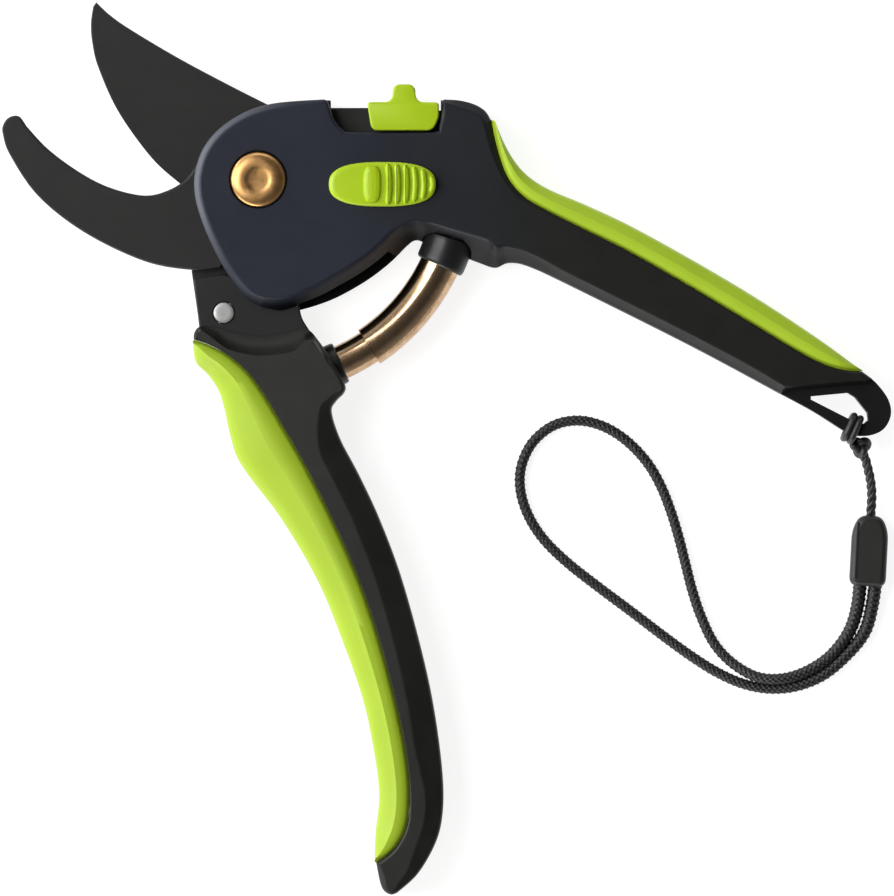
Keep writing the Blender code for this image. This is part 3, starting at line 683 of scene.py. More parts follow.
def dim_room():
    """A grey room that is darkest overhead and to the right, so that black plastic stays black."""
    world = bpy.data.worlds.new("grey_room")
    world.use_nodes = True
    tree = world.node_tree
    room = tree.nodes["Background"]
    place = tree.nodes.new("ShaderNodeTexCoord")
    axes = tree.nodes.new("ShaderNodeSeparateXYZ")
    tree.links.new(place.outputs["Generated"], axes.inputs["Vector"])
    side = ranged(tree, axes.outputs["X"], 1.0, 0.32, -0.9, 0.6)
    height = ranged(tree, axes.outputs["Z"], 1.0, 0.16, 0.12, 0.80)
    tree.links.new(product(tree, side, height), room.inputs["Strength"])
    room.inputs["Color"].default_value = (1.0, 1.0, 1.0, 1.0)
    return world


# ---------------------------------------------------------------- lanyard

LOOP_ROUTE = [
    (135.7, -89.4, 3.2),
    (135.0, -96.2, 2.3),
    (133.0, -102.1, 1.9),
    (128.8, -107.4, 2.0),
    (123.2, -110.9, 2.3),
    (117.6, -112.4, 2.7),
    (112.2, -111.9, 2.4),
    (106.9, -108.9, 1.6),
    (102.7, -104.4, 1.4),
    (99.7, -98.2, 1.4),
    (97.7, -92.2, 1.4),
    (96.2, -86.3, 1.4),
    (94.7, -80.4, 1.4),
    (92.9, -74.5, 1.4),
    (90.5, -68.5, 1.4),
    (87.3, -63.2, 1.4),
    (82.6, -58.4, 1.4),
    (77.4, -55.3, 1.4),
    (71.8, -54.1, 1.4),
    (66.3, -55.3, 1.4),
    (61.7, -59.1, 1.4),
    (59.2, -64.4, 1.4),
    (59.0, -69.9, 1.4),
    (60.8, -75.6, 1.4),
    (64.3, -81.0, 1.4),
    (69.6, -86.2, 1.4),
    (76.6, -91.7, 1.4),
    (83.7, -97.0, 1.4),
    (91.2, -102.7, 1.4),
    (97.4, -107.2, 1.4),
    (103.3, -110.9, 1.4),
    (109.2, -113.5, 1.4),
    (115.2, -114.6, 1.4),
    (121.3, -114.0, 1.6),
    (127.3, -111.5, 1.7),
    (132.6, -107.0, 1.8),
    (136.6, -101.9, 1.9),
    (138.3, -96.0, 2.3),
    (139.2, -89.4, 3.2),
]
LEADER_ROUTE = [
    (136.5, -62.4, 6.9),
    (137.2, -64.8, 5.9),
    (137.9, -67.8, 4.8),
    (138.2, -71.2, 3.7),
    (138.0, -75.0, 3.25),
]
KNOT_AT = Vector((135.5, -60.0, 7.6))
HITCH_AT = Vector((133.6, -55.9, 8.0))
BEAD_AT = (137.6, -83.5)
BEAD_LEAN = -3.0
CORD_RADIUS = 1.28
CORD_SWELL = 0.38
SWELL_LENGTH = 48.0
PLY_RADIUS = 0.58
BRAID_STRANDS = 6
BRAID_PITCH = 7.5
BRAID_DEPTH = 0.42
# Strand height given to plain strands, which sets how much painted shade and highlight their colour takes.
PLAIN_HEIGHT = 0.75


def carried(points):
    """At each point of a line, two directions across it that turn as little as they can along it."""
    side = Vector((0, 0, 1))
    found = []
    for index, point in enumerate(points):
        before = points[max(index - 1, 0)]
        after = points[min(index + 1, len(points) - 1)]
        along = (after - before).normalized()
        side = (side - along * side.dot(along)).normalized()
        found.append((side.copy(), along.cross(side)))
    return found


def braid_height(turn, run):
    """How high a round braid stands at an angle round it and a distance along it."""
    a = BRAID_STRANDS * turn / (2 * math.pi) + BRAID_STRANDS * run / BRAID_PITCH
    b = BRAID_STRANDS * turn / (2 * math.pi) - BRAID_STRANDS * run / BRAID_PITCH
    over = (math.floor(a) + math.floor(b)) % 2
    across, along = (a % 1.0, b % 1.0) if over else (b % 1.0, a % 1.0)
    return math.sin(math.pi * across) ** 1.1 * (0.45 + 0.55 * math.sin(math.pi * along))


def tube_rows(line, radii, sides, relief_at=None):
    """Rings round a line, with a braid's relief where relief_at gives its height."""
    rows = []
    run = 0.0
    for index, (middle, (side, up)) in enumerate(zip(line, carried(line))):
        run += (middle - line[index - 1]).length if index else 0.0
        row = []
        for step in range(sides):
            turn = 2 * math.pi * step / sides
            height = relief_at(turn, run) if relief_at else 1.0
            reach = radii[index] - BRAID_DEPTH * (1 - height)
            row.append(middle + reach * (math.cos(turn) * side + math.sin(turn) * up))
        rows.append(row)
    return rows


def plain_tube(name, line, radius, sides, closed=False):
    """A plain strand along a line, of one height all over for the cord's colour."""
    piece = wrapped(name, tube_rows(line, [radius] * len(line), sides), closed)
    store_heights(piece, [PLAIN_HEIGHT] * len(piece.data.vertices))
    return piece


def store_heights(piece, values):
    """Store how high each point stands on its strand."""
    heights = piece.data.attributes.new("strand_height", "FLOAT", "POINT")
    heights.data.foreach_set("value", values)


def strand_heights(piece, line, radii):
    """How high each point of a braid stands on its strand, from its distance to the line."""
    values = []
    near = 0
    for corner in piece.data.vertices:
        place = corner.co / MM
        window = range(max(near - 40, 0), min(near + 40, len(line)))
        near = min(window, key=lambda k: (line[k] - place).length_squared)
        sunk = (radii[near] - (line[near] - place).length) / BRAID_DEPTH
        values.append(max(0.0, min(1.0, 1 - sunk)))
    return values


def wrist_cord(look):
    """The braided wrist loop, from the bead's foot round and back to it, thicker where it leaves the bead."""
    total = length_of(LOOP_ROUTE)
    line = evenly(LOOP_ROUTE, round(total / 0.28))
    radii = []
    for index in range(len(line)):
        from_end = min(index, len(line) - 1 - index) * total / (len(line) - 1)
        swell = 0.5 + 0.5 * math.cos(math.pi * min(1.0, from_end / SWELL_LENGTH))
        radii.append(CORD_RADIUS + CORD_SWELL * swell)
    piece = wrapped("wrist_cord_braid", tube_rows(line, radii, 36, braid_height))
    store_heights(piece, strand_heights(piece, line, radii))
    finished(piece, "lanyard", look, ["wrist_loop"], 60)
    return piece, total, [tuple(point * MM) for point in line[::6]]


def ply(name, line, phase):
    """One strand of the twisted leader."""
    turns = 3.0
    reach = 0.54
    middle = []
    for index, (point, (side, up)) in enumerate(zip(line, carried(line))):
        turn = 2 * math.pi * turns * index / (len(line) - 1) + phase
        middle.append(point + reach * (math.cos(turn) * side + math.sin(turn) * up))
    return plain_tube(name, middle, PLY_RADIUS, 14)


def leader_cord(look):
    """The twisted leader from the knot into the bead."""
    route = [(135.9, -61.3, 7.3), *LEADER_ROUTE, (137.9, -76.2, 3.2)]
    line = evenly(route, 130)
    strands = [ply(f"leader_ply_{index}", line, 2 * math.pi * index / 3) for index in range(3)]
    return finished(gathered("leader_twist", strands), "lanyard", look, ["lanyard_leader"], 60)


def knot(look):
    """The overhand knot under the hitch: one closed trefoil line."""
    count = 180
    size = 0.62
    line = []
    for step in range(count):
        t = 2 * math.pi * step / count
        loop = (math.sin(t) + 2 * math.sin(2 * t), math.cos(t) - 2 * math.cos(2 * t), -1.3 * math.sin(3 * t))
        line.append(KNOT_AT + size * Vector(loop))
    piece = plain_tube("knot_turns", line, 0.86, 16, closed=True)
    finished(piece, "upper_lever", look, ["lanyard_knot"], 60)


def hitch(look):
    """The two bights of cord round the eye's bar, side by side."""
    count = 72
    strand = 0.76
    half_wide, half_tall = 2.8, 5.75
    lean = math.radians(66.0)
    across = Vector((math.cos(lean), math.sin(lean), 0))
    bights = []
    for side in (-1, 1):
        sideways = Vector((-across.y, across.x, 0)) * side * strand
        ring = []
        for step in range(count):
            t = 2 * math.pi * step / count
            wide = abs(math.cos(t)) ** 0.4 * math.copysign(half_wide, math.cos(t))
            tall = abs(math.sin(t)) ** 0.4 * math.copysign(half_tall, math.sin(t))
            ring.append(HITCH_AT + across * wide + sideways + Vector((0, 0, tall)))
        bights.append(plain_tube(f"bight_{side}", smoothed(ring, 3), strand, 16, closed=True))
    finished(gathered("hitch_bights", bights), "upper_lever", look, ["lanyard_hitch"], 60)


def bead(look):
    """The moulded bead: a rounded block, narrower at its shoulders, with a rib down its left side."""
    style = both_rims(1.3, 1.5, 0.3, 6.1, 5)
    sides = [(-4.1, -8.0), (-4.1, 4.4), (-2.5, 8.0), (2.5, 8.0), (4.1, 4.4), (4.1, -8.0)]
    outline = rounded_corners(sides, 2.0, 6)
    piece = plate("cord_bead", straight([*outline, outline[0]], style), 0.35)
    rib = plate("rib", box_runs((-2.9, 0.0), (0.7, 12.8), 0.3, both_rims(0.15, 0.15, 5.0, 6.2, 2)), 0.2)
    trimmed(piece, rib, "UNION")
    only(piece)
    piece.rotation_euler = (0, 0, math.radians(BEAD_LEAN))
    piece.location = (BEAD_AT[0] * MM, BEAD_AT[1] * MM, 0)
    bpy.ops.object.transform_apply(location=True, rotation=True, scale=True)
    return finished(piece, "lanyard", look, ["lanyard_bead"])


# ---------------------------------------------------------------- head and upper handle

HEAD_FRONT = [
    (14.8, 18.0),
    (7.7, 17.6),
    (2.3, 16.9),
    (-3.2, 15.1),
    (-8.6, 11.6),
    (-12.4, 7.0),
    (-14.2, 1.6),
    (-14.3, -3.2),
    (-13.2, -7.8),
    (-11.4, -12.6),
    (-8.8, -18.0),
    (-5.9, -22.8),
    (-2.8, -26.6),
    (0.6, -28.5),
]
HEAD_FOOT = [
    (0.6, -28.5),
    (4.8, -29.4),
    (9.1, -29.2),
    (16.5, -26.8),
    (23.7, -22.9),
    (29.1, -18.9),
    (33.1, -15.0),
]
SPRING_BAY = [(33.1, -15.0), (35.2, -13.5), (37.9, -14.2), (50.0, -18.7)]
UPPER_INNER = [
    (50.0, -18.7),
    (53.3, -19.7),
    (56.3, -18.6),
    (60.8, -19.4),
    (70.3, -23.8),
    (97.5, -37.4),
    (118.0, -48.4),
]
EYE_OUTER = [
    (118.0, -48.4),
    (125.0, -52.2),
    (132.0, -56.6),
    (134.9, -57.6),
    (138.2, -57.3),
    (140.8, -55.8),
    (142.2, -52.8),
    (141.6, -49.4),
    (138.9, -45.7),
    (135.6, -43.1),
]
UPPER_SEAM = [
    (135.6, -43.1),
    (131.5, -42.8),
    (126.8, -41.4),
    (121.4, -38.7),
    (111.2, -32.6),
    (97.5, -24.4),
    (83.9, -16.6),
    (73.7, -11.5),
    (65.6, -7.4),
    (60.1, -4.2),
    (56.7, -0.6),
    (54.7, 3.7),
    (53.2, 8.9),
    (52.3, 13.3),
]
SHOULDER = [(52.3, 13.3), (51.0, 15.4), (48.6, 16.9), (45.2, 17.8), (41.7, 18.0)]
UPPER_OUTER = [
    (135.0, -42.4),
    (124.8, -35.0),
    (111.2, -26.1),
    (97.5, -18.0),
    (83.9, -10.5),
    (73.7, -5.7),
    (65.6, -2.3),
    (60.8, 0.7),
    (57.6, 4.2),
    (55.1, 8.6),
    (53.2, 13.1),
]
NOTCH_EDGE = [
    (41.1, 14.6),
    (40.6, 11.9),
    (38.9, 10.6),
    (21.4, 10.6),
    (18.9, 11.3),
    (17.2, 13.2),
    (16.1, 16.0),
]
EYE = [
    (124.2, -48.7),
    (132.6, -47.9),
    (134.2, -48.9),
    (137.0, -52.4),
    (137.2, -54.0),
    (136.2, -54.9),
    (134.0, -54.4),
    (124.2, -49.4),
]
CAVITY = [
    (-40.0, 30.0),
    (2.4, 20.0),
    (6.2, 14.9),
    (13.8, 14.9),
    (14.2, 16.6),
    (38.0, 16.6),
    (38.0, 1.8),
    (20.5, -7.9),
    (20.6, -11.4),
    (40.0, -22.0),
    (20.0, -50.0),
    (-40.0, -50.0),
]
SELECTOR_AT = (27.9, -1.1)
SCREWS_AT = [(32.0, -8.5), (46.3, 14.6), (63.0, -13.0), (108.0, -37.0)]


def bevelled(width, drop):
    """A flat chamfer with its two arrises just rounded."""
    return [
        *front_wall(),
        (0.0, BODY_TOP - drop - 0.5),
        (0.06, BODY_TOP - drop - 0.15),
        (width * 0.10, BODY_TOP - drop * 0.96),
        (width * 0.35, BODY_TOP - drop * 0.68),
        (width * 0.75, BODY_TOP - drop * 0.24),
        (width * 0.92, BODY_TOP - drop * 0.06),
        (width + 0.08, BODY_TOP),
        (width + 0.35, BODY_TOP),
    ]


def steep(width, drop):
    """A steep flank with a round shoulder at its top."""
    return [
        *front_wall(),
        (0.0, BODY_TOP - drop),
        (width * 0.30, BODY_TOP - drop * 0.74),
        (width * 0.56, BODY_TOP - drop * 0.44),
        (width * 0.74, BODY_TOP - drop * 0.22),
        (width * 0.86, BODY_TOP - drop * 0.09),
        (width * 0.95, BODY_TOP - drop * 0.02),
        (width + 0.1, BODY_TOP),
        (width + 0.4, BODY_TOP),
    ]


def guide_cutters():
    """The guide's tunnel and the boot's seat."""
    return [
        wrapped("cutter", guide_rows(along_guide(-30.0, 10.5, 5.1), 32)),
        wrapped("cutter", guide_rows(along_guide(-32.0, -16.5, 6.1), 32)),
    ]


def front_half(look):
    """The front moulding: a rim round the head, a deep flank under it and a cut for each fitting."""
    crisp = rim(0.3)
    cool = bevelled(1.5, 1.4)
    flank = steep(4.7, 7.2)
    under = bevelled(2.3, 2.2)
    small = rim(1.0)
    runs = [
        (HEAD_FRONT, [small, *[cool] * 5, steep(2.2, 2.6)]),
        (HEAD_FOOT, [steep(2.2, 2.6), steep(3.8, 6.0), flank, flank, flank]),
        (SPRING_BAY, [flank, steep(5.0, 7.2), steep(6.0, 7.2)]),
        (UPPER_INNER, [steep(6.0, 7.2), steep(3.0, 4.0), *[under] * 6, bevelled(1.9, 1.8)]),
        (EYE_OUTER, [bevelled(1.9, 1.8), small, small, small]),
        (UPPER_SEAM, [small, *[crisp] * 4, bevelled(0.8, 0.7), bevelled(1.7, 1.5)]),
        (SHOULDER, [bevelled(1.7, 1.5), bevelled(2.0, 1.6), bevelled(1.2, 1.1)]),
        ([(41.7, 18.0), (41.3, 17.6), (41.1, 14.6)], [bevelled(1.2, 1.1), rim(0.7)]),
        (NOTCH_EDGE, [rim(0.7)]),
        ([(16.1, 16.0), (15.6, 17.6), (14.8, 18.0)], [rim(0.7), small]),
    ]
    piece = plate("head_front_half", runs)
    x, y = SELECTOR_AT
    for tool in guide_cutters():
        trimmed(piece, tool)
    trimmed(piece, drum(EYE, 5, 18))
    trimmed(piece, eye_step(12.5, 17.0, True))
    trimmed(piece, drum(CAVITY, 6, 11.8))
    slot_style = [(0, 11), (0, 17)]
    trimmed(piece, plate("cutter", box_runs((x - 3.0, y), (11.8, 4.2), 1.5, slot_style), 0.5))
    trimmed(piece, plate("cutter", box_runs((x - 3.0, y), (14.8, 7.8), 0.6, [(0, 11), (0, 13.4)]), 0.5))
    bolt_seat = [(0, 13.9), (6.5, 13.9), (6.5, 15.8), (6.78, 16.1), (6.78, 17), (0, 17)]
    trimmed(piece, turned("cutter", bolt_seat))
    trimmed(piece, disc((0, 0), 4.35, 7, 15))
    return finished(piece, "upper_lever", look, ["front_shell"])


def eye_step(low, high, front):
    """Cutter that thins the eye's plate, with a sloped shoulder so that the step catches the light."""
    foot = [(116.8, -48.4), (119.0, -47.3), (136.2, -46.0), (150.0, -38.0), (150.0, -70.0), (112.0, -62.0)]
    brow = [(116.2, -48.0), (118.4, -46.2), (136.6, -44.8), (150.0, -36.8), (150.0, -70.0), (112.0, -62.0)]
    lower, upper = (foot, brow) if front else (brow, foot)
    return wrapped("cutter", [[(*p, low) for p in lower], [(*p, high) for p in upper]])


def back_half(look):
    """The back moulding, with the blade's space, the nut's recess and the screws' seats."""
    crisp = lower_rim(0.3)
    soft = lower_rim(1.8)
    runs = [
        (HEAD_FRONT, [soft]),
        (HEAD_FOOT, [soft]),
        (SPRING_BAY, [soft]),
        (UPPER_INNER, [soft, soft, lower_rim(1.4)]),
        (EYE_OUTER, [lower_rim(1.0)]),
        (UPPER_SEAM, [lower_rim(1.0), *[crisp] * 5, lower_rim(1.0)]),
        (SHOULDER, [lower_rim(1.0), soft, soft]),
        ([(41.7, 18.0), (14.8, 18.0)], [soft]),
    ]
    piece = plate("head_back_half", runs)
    sweep = [*arc(20.4, 212, 333, 24), (36.0, -18.3), (20.0, -50.0), (-40.0, -50.0), (-40.0, -25.0)]
    for tool in guide_cutters():
        trimmed(piece, tool)
    trimmed(piece, drum(EYE, -2, 10))
    trimmed(piece, eye_step(-1.0, 3.5, False))
    trimmed(piece, drum(CAVITY, 4.9, 9))
    trimmed(piece, drum(sweep, 2.6, 9))
    notch_floor = [(16.2, 10.6), (40.9, 10.6), (41.1, 16.5), (15.9, 16.5)]
    notch_mouth = [(16.2, 15.8), (41.0, 15.8), (41.0, 20.0), (16.2, 20.0)]
    nut_seat = [(0, -1), (7.2, -1), (7.2, -0.2), (6.7, 0.4), (6.7, 2.7), (0, 2.7)]
    screw_seat = [(0, -1), (3.0, -1), (3.0, -0.1), (2.6, 0.3), (2.6, 2.6), (0, 2.6)]
    trimmed(piece, drum(notch_floor, 4.9, 9))
    trimmed(piece, drum(notch_mouth, -1, 9))
    trimmed(piece, turned("cutter", nut_seat))
    trimmed(piece, disc((0, 0), BORE_RADIUS, -1, 9))
    for place in SCREWS_AT:
        trimmed(piece, turned("cutter", screw_seat, place, 32))
    return finished(piece, "upper_lever", look, ["back_shell"])


# ---------------------------------------------------------------- soft grips


def soft_grip(name, seam, outer, clear, crown):
    """A soft grip: a flat band along the seam, a crease, then a slope that rolls over to the outer edge.

    The crown gives the band's share of the width and the heights of band, slope and edge.
    """
    stations = 150
    near = evenly(seam, stations)
    moves = []
    for index, place in enumerate(near):
        way = (near[min(index + 1, stations - 1)] - near[max(index - 1, 0)]).normalized()
        moves.append(Vector((-way.y, way.x)) * clear)
    near = [place + move for place, move in zip(near, moves)]
    far = evenly(outer, stations)
    band, band_z, slope_z, edge_z = crown
    tuck = 0.02 - abs(clear)
    upper = [
        (0.0, tuck, 15.0),
        (0.0, 0.0, 15.25),
        (0.0, 0.3, 15.72),
        (0.0, 0.8, band_z - 0.06),
        (band * 0.45, 0.6, band_z),
        (band * 0.9, 0.3, band_z - 0.02),
        (band, 0.15, band_z - 0.16),
        (band + (1 - band) * 0.3, 0.0, band_z - (band_z - slope_z) * 0.3),
        (band + (1 - band) * 0.62, 0.0, band_z - (band_z - slope_z) * 0.68),
        (band + (1 - band) * 0.84, 0.0, slope_z),
        (band + (1 - band) * 0.95, 0.0, (slope_z + edge_z) / 2),
        (1.0, 0.0, edge_z),
    ]
    section = [*upper, *[(t, extra, BODY_TOP - z) for t, extra, z in reversed(upper)]]
    rows = []
    for a, b in zip(near, far):
        across = b - a
        reach = max(across.length, 0.05)
        row = []
        for t, extra, z in section:
            part = min(t + extra / reach, 1.0)
            height = 8 + (z - 8) * (0.9 + 0.1 * min(1.0, reach / 3.0))
            row.append((*(a + across * part), height))
        rows.append(row)
    return wrapped(name, rows)


# ---------------------------------------------------------------- blades

BLADE_SPINE = [(-36.6, 40.1), (-33.5, 37.2), (-28.8, 33.9), (-18.4, 27.7), (-7.0, 21.6), (2.5, 16.8)]
BLADE_EDGE = [
    (-37.3, 39.1),
    (-37.8, 35.3),
    (-37.5, 31.0),
    (-36.1, 25.3),
    (-31.6, 15.4),
    (-24.1, 5.0),
    (-17.7, -0.8),
]
BLADE_HEEL = [(-17.7, -0.8), (-14.5, -4.5), (-13.6, -10.0), (-14.8, -16.0), (-15.1, -20.6)]
TANG_LEFT = [(-13.3, -33.3), (-7.5, -37.4), (-2.2, -40.8), (2.4, -46.0), (6.0, -52.5), (9.6, -58.5)]
TANG_TIP = [(9.6, -58.5), (12.5, -60.0), (14.0, -57.5)]
TANG_RIGHT = [(14.0, -57.5), (11.5, -48.0), (10.2, -40.0), (12.0, -35.4), (9.5, -30.3), (8.4, -21.5)]
LOCK_HORN = [(13.6, -3.2), (27.0, -3.2), (27.0, 0.2), (14.0, 0.2)]
HOOK_MOUTH = [
    (-52.2, 12.1),
    (-47.3, 6.9),
    (-40.2, 1.7),
    (-33.5, -1.7),
    (-25.9, -3.5),
    (-20.5, -2.4),
    (-16.0, 0.5),
    (-12.6, 5.6),
    (-9.5, 10.3),
]
HOOK_NOSE = [(-57.6, 10.7), (-57.6, 11.9), (-56.8, 13.5), (-55.3, 14.4), (-53.7, 14.2), (-52.2, 12.1)]
HOOK_BACK = [
    (-57.6, 10.7),
    (-56.0, 5.8),
    (-49.6, -3.6),
    (-39.2, -11.8),
    (-25.9, -18.2),
    (-15.3, -20.2),
    (-8.5, -19.8),
]
HOOK_TAIL = [
    (17.0, -9.0),
    (20.5, -7.0),
    (36.4, 1.8),
    (37.4, 4.0),
    (37.4, 16.2),
    (14.6, 16.2),
    (14.2, 14.3),
    (7.5, 14.3),
]
RIVET_AT = (-7.8, -29.9)


def ground_edge(inset):
    """Section at the cutting edge: flat in front, ground back to a keen edge behind."""
    front = [(0.0, 7.3), (0.0, 7.55), (0.25, BLADE_HIGH), (0.4, BLADE_HIGH)]
    return [(inset + 0.15, BLADE_LOW), (inset, BLADE_LOW), *front]


def cutting_blade(look):
    """The cutting blade, hollow ground behind, with its boss, horn and tang."""
    flat = square(BLADE_LOW, BLADE_HIGH, 0.22)
    keen = [ground_edge(inset) for inset in (0.5, 3.4, 4.6, 4.6, 4.2)]
    boss = arc(14.0, 50, 3, 16)
    below = arc(14.0, -14, -52, 14)
    runs = [
        (BLADE_SPINE[::-1], [flat]),
        ([BLADE_SPINE[0], BLADE_EDGE[0]], [flat]),
        (BLADE_EDGE, [*keen, flat]),
        (BLADE_HEEL, [flat]),
        ([BLADE_HEEL[-1], TANG_LEFT[0]], [flat]),
        (TANG_LEFT, [flat]),
        (TANG_TIP, [flat]),
        (TANG_RIGHT, [flat]),
        *straight([TANG_RIGHT[-1], below[-1]], flat),
        (below[::-1], [flat]),
        *straight([below[0], *LOCK_HORN, boss[-1]], flat),
        (boss[::-1], [flat]),
        *straight([boss[0], BLADE_SPINE[-1]], flat),
    ]
    piece = plate("bypass_blade", runs, 0.5)
    trimmed(piece, disc((0, 0), BORE_RADIUS, 4, 9))
    trimmed(piece, disc(RIVET_AT, 2.8, 4, 9, 32))
    return finished(piece, "lower_lever", look, ["cutting_blade"])


def hooked_jaw(look):
    """The hooked jaw, with a narrow bevel along its mouth and the tail between the shells."""
    flat = square(JAW_LOW, JAW_HIGH, 0.3)
    bevel = [(0.0, 10.7), (0.6, JAW_HIGH), (0.8, JAW_HIGH)]
    mouth = [(0.5, JAW_LOW), (0.2, JAW_LOW), (0.0, 8.4), *bevel]
    inside = arc(14.0, 60, 132, 20)
    under = arc(20.0, -113, -80, 14)
    runs = [
        (HOOK_MOUTH[::-1], [flat, mouth, mouth, mouth]),
        (HOOK_NOSE[::-1], [mouth, flat]),
        (HOOK_BACK, [flat]),
        *straight([HOOK_BACK[-1], under[0]], flat),
        (under, [flat]),
        *straight([under[-1], (8.0, -14.0), *HOOK_TAIL, inside[0]], flat),
        (inside, [flat]),
        *straight([inside[-1], HOOK_MOUTH[-1]], flat),
    ]
    piece = plate("hooked_counter_jaw", runs, 0.5)
    trimmed(piece, disc((0, 0), BORE_RADIUS, 7, 12))
    return finished(piece, "upper_lever", look, ["hook_jaw"])


def neck_plates(look):
    """The two cheeks either side of the tang, each with a broken edge and a countersunk rivet hole."""
    top = [(-14.6, -22.3), (-7.9, -21.1), *arc(22.5, -105, -69, 14)]
    plates = [("neck_plate_front", "front_cheek", JAW_LOW, JAW_HIGH)]
    plates.append(("neck_plate_back", "back_cheek", 3.0, 4.8))
    for name, node, low, high in plates:
        edge = square(low, high, 0.3)
        runs = [
            (TANG_LEFT, [edge]),
            (TANG_TIP, [edge]),
            (TANG_RIGHT[:-1] + [(8.6, -22.5)], [edge]),
            *straight([(8.6, -22.5), top[-1]], edge),
            (top[2:][::-1], [edge]),
            *straight([top[2], top[1], top[0], TANG_LEFT[0]], edge),
        ]
        piece = plate(name, runs, 0.5)
        hole = [(0, low - 1), (2.5, low - 1), (2.5, high - 0.12)]
        hole += [(2.62, high), (2.62, high + 1), (0, high + 1)]
        trimmed(piece, turned("cutter", hole, RIVET_AT, 40))
        finished(piece, "lower_lever", look, [node])


# ---------------------------------------------------------------- fittings


def pivot(copper, steel):
    """The dished copper bolt on the front and the sleeve nut with its spanner holes on the back."""
    head = [
        (0, 16.66),
        (1.2, 16.67),
        (2.1, 16.69),
        (2.5, 16.73),
        (2.8, 16.80),
        (3.2, 16.84),
        (4.0, 16.84),
        (5.1, 16.7),
        (5.8, 16.38),
        (6.15, 16.0),
        (6.25, 15.5),
        (6.2, 15.05),
        (5.9, 15.0),
        (4.0, 15.0),
        (4.0, 1.35),
        (0, 1.3),
    ]
    finished(turned("dished_bolt", head, count=96), "upper_lever", copper, ["pivot_bolt"])
    nut = [(0, 0.05), (5.6, 0.05), (6.1, 0.2), (6.3, 0.6), (6.3, 2.4), (5.2, 2.4)]
    nut += [(5.2, 4.7), (4.3, 4.7), (4.3, 1.0), (0, 1.0)]
    piece = turned("spanner_nut", nut, count=72)
    for side in (-1, 1):
        trimmed(piece, disc((side * 4.2, 0), 0.7, -1, 0.8, 24))
    finished(piece, "upper_lever", steel, ["pivot_nut"])


def neck_rivet(steel):
    """The rivet's flush silver head."""
    head = [(0, 11.46), (1.4, 11.46), (2.15, 11.45), (2.26, 11.41), (2.3, 11.3), (2.3, 10.7), (2.46, 10.6)]
    head += [(2.46, 3.3), (2.3, 3.1), (0, 3.1)]
    finished(turned("satin_rivet", head, RIVET_AT, 48), "lower_lever", steel, ["tang_rivet"])


def shell_screws(steel):
    """Pan-headed screws with cross recesses, modelled once and copied."""
    profile = [(0, 0.75), (1.2, 0.8), (1.8, 0.98), (2.15, 1.35), (2.2, 1.8), (2.2, 2.3)]
    profile += [(1.1, 2.3), (1.1, 12.3), (0, 12.9)]
    first = turned("case_screw_1", profile, (0, 0), 40)
    for wide, tall in ((2.2, 0.5), (0.5, 2.2)):
        cross = [(-wide / 2, -tall / 2), (wide / 2, -tall / 2), (wide / 2, tall / 2), (-wide / 2, tall / 2)]
        trimmed(first, drum(cross, 0.2, 1.7))
    pieces = [first]
    for index in (2, 3, 4):
        only(first)
        bpy.ops.object.duplicate(linked=False)
        copy = bpy.context.object
        copy.name = copy.data.name = f"case_screw_{index}"
        pieces.append(copy)
    for index, (piece, place) in enumerate(zip(pieces, SCREWS_AT), 1):
        only(piece)
        piece.location = (place[0] * MM, place[1] * MM, 0)
        bpy.ops.object.transform_apply(location=True, rotation=True, scale=True)
        finished(piece, "upper_lever", steel, [f"shell_screw_{index}"])


def spring_guide(bronze, black):
    """The two tubes with rolled lips, the collar and the boot."""
    sleeve = [(-56.5, 4.45), (-56.35, 4.6), *along_guide(-55.9, -21.6, 4.6), (-21.2, 4.55), (-21.0, 4.4)]
    sleeve += [(-21.0, 4.2), *along_guide(-21.6, -56.0, 4.2), (-56.5, 4.2)]
    piece = wrapped("outer_guide_tube", guide_rows(sleeve), closed=True)
    finished(piece, "sleeve", bronze, ["spring_sleeve"])
    inner = [*along_guide(-71.6, -45.0, 3.9), *along_guide(-45.0, -71.6, 3.3)]
    piece = wrapped("inner_guide_tube", guide_rows(inner), closed=True)
    finished(piece, "lower_lever", bronze, ["inner_tube"])
    lip = [(-69.8, 4.85), *along_guide(-69.4, -66.6, 4.85), (-66.0, 4.75), (-65.7, 4.5)]
    lip += [(-65.7, 4.2), (-69.8, 4.2)]
    piece = wrapped("guide_collar", guide_rows(lip), closed=True)
    finished(piece, "lower_lever", black, ["spring_collar"])
    cap = [(-25.4, 5.1), (-25.1, 5.4), (-24.6, 5.55), *along_guide(-24.1, -17.5, 5.6), (-17.0, 5.5)]
    cap += [(-17.0, 4.95), *along_guide(-17.6, -25.0, 4.95), (-25.4, 4.95)]
    piece = wrapped("guide_boot", guide_rows(cap), closed=True)
    finished(piece, "upper_lever", black, ["spring_boot"])


def return_spring(steel):
    """The coil spring inside the guide, stretched between the two levers."""
    coils, per_turn, coil_r, wire_r = 18, 18, 2.5, 0.4
    count = coils * per_turn
    middle = []
    for step in range(count + 1):
        turn = math.radians(-70.8 + 80.4 * step / count)
        spin = 2 * math.pi * step / per_turn
        reach = GUIDE_RADIUS + coil_r * math.cos(spin)
        height = GUIDE_HEIGHT + coil_r * math.sin(spin)
        middle.append(Vector((reach * math.cos(turn), reach * math.sin(turn), height)))
    coil = wrapped("coil_spring", tube_rows(middle, [wire_r] * len(middle), 8))
    only(coil)
    coil.data.materials.append(steel)
    bpy.ops.object.shade_smooth_by_angle(angle=math.radians(60))
    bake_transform(coil)
    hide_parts("return_spring")


# ---------------------------------------------------------------- lower handle

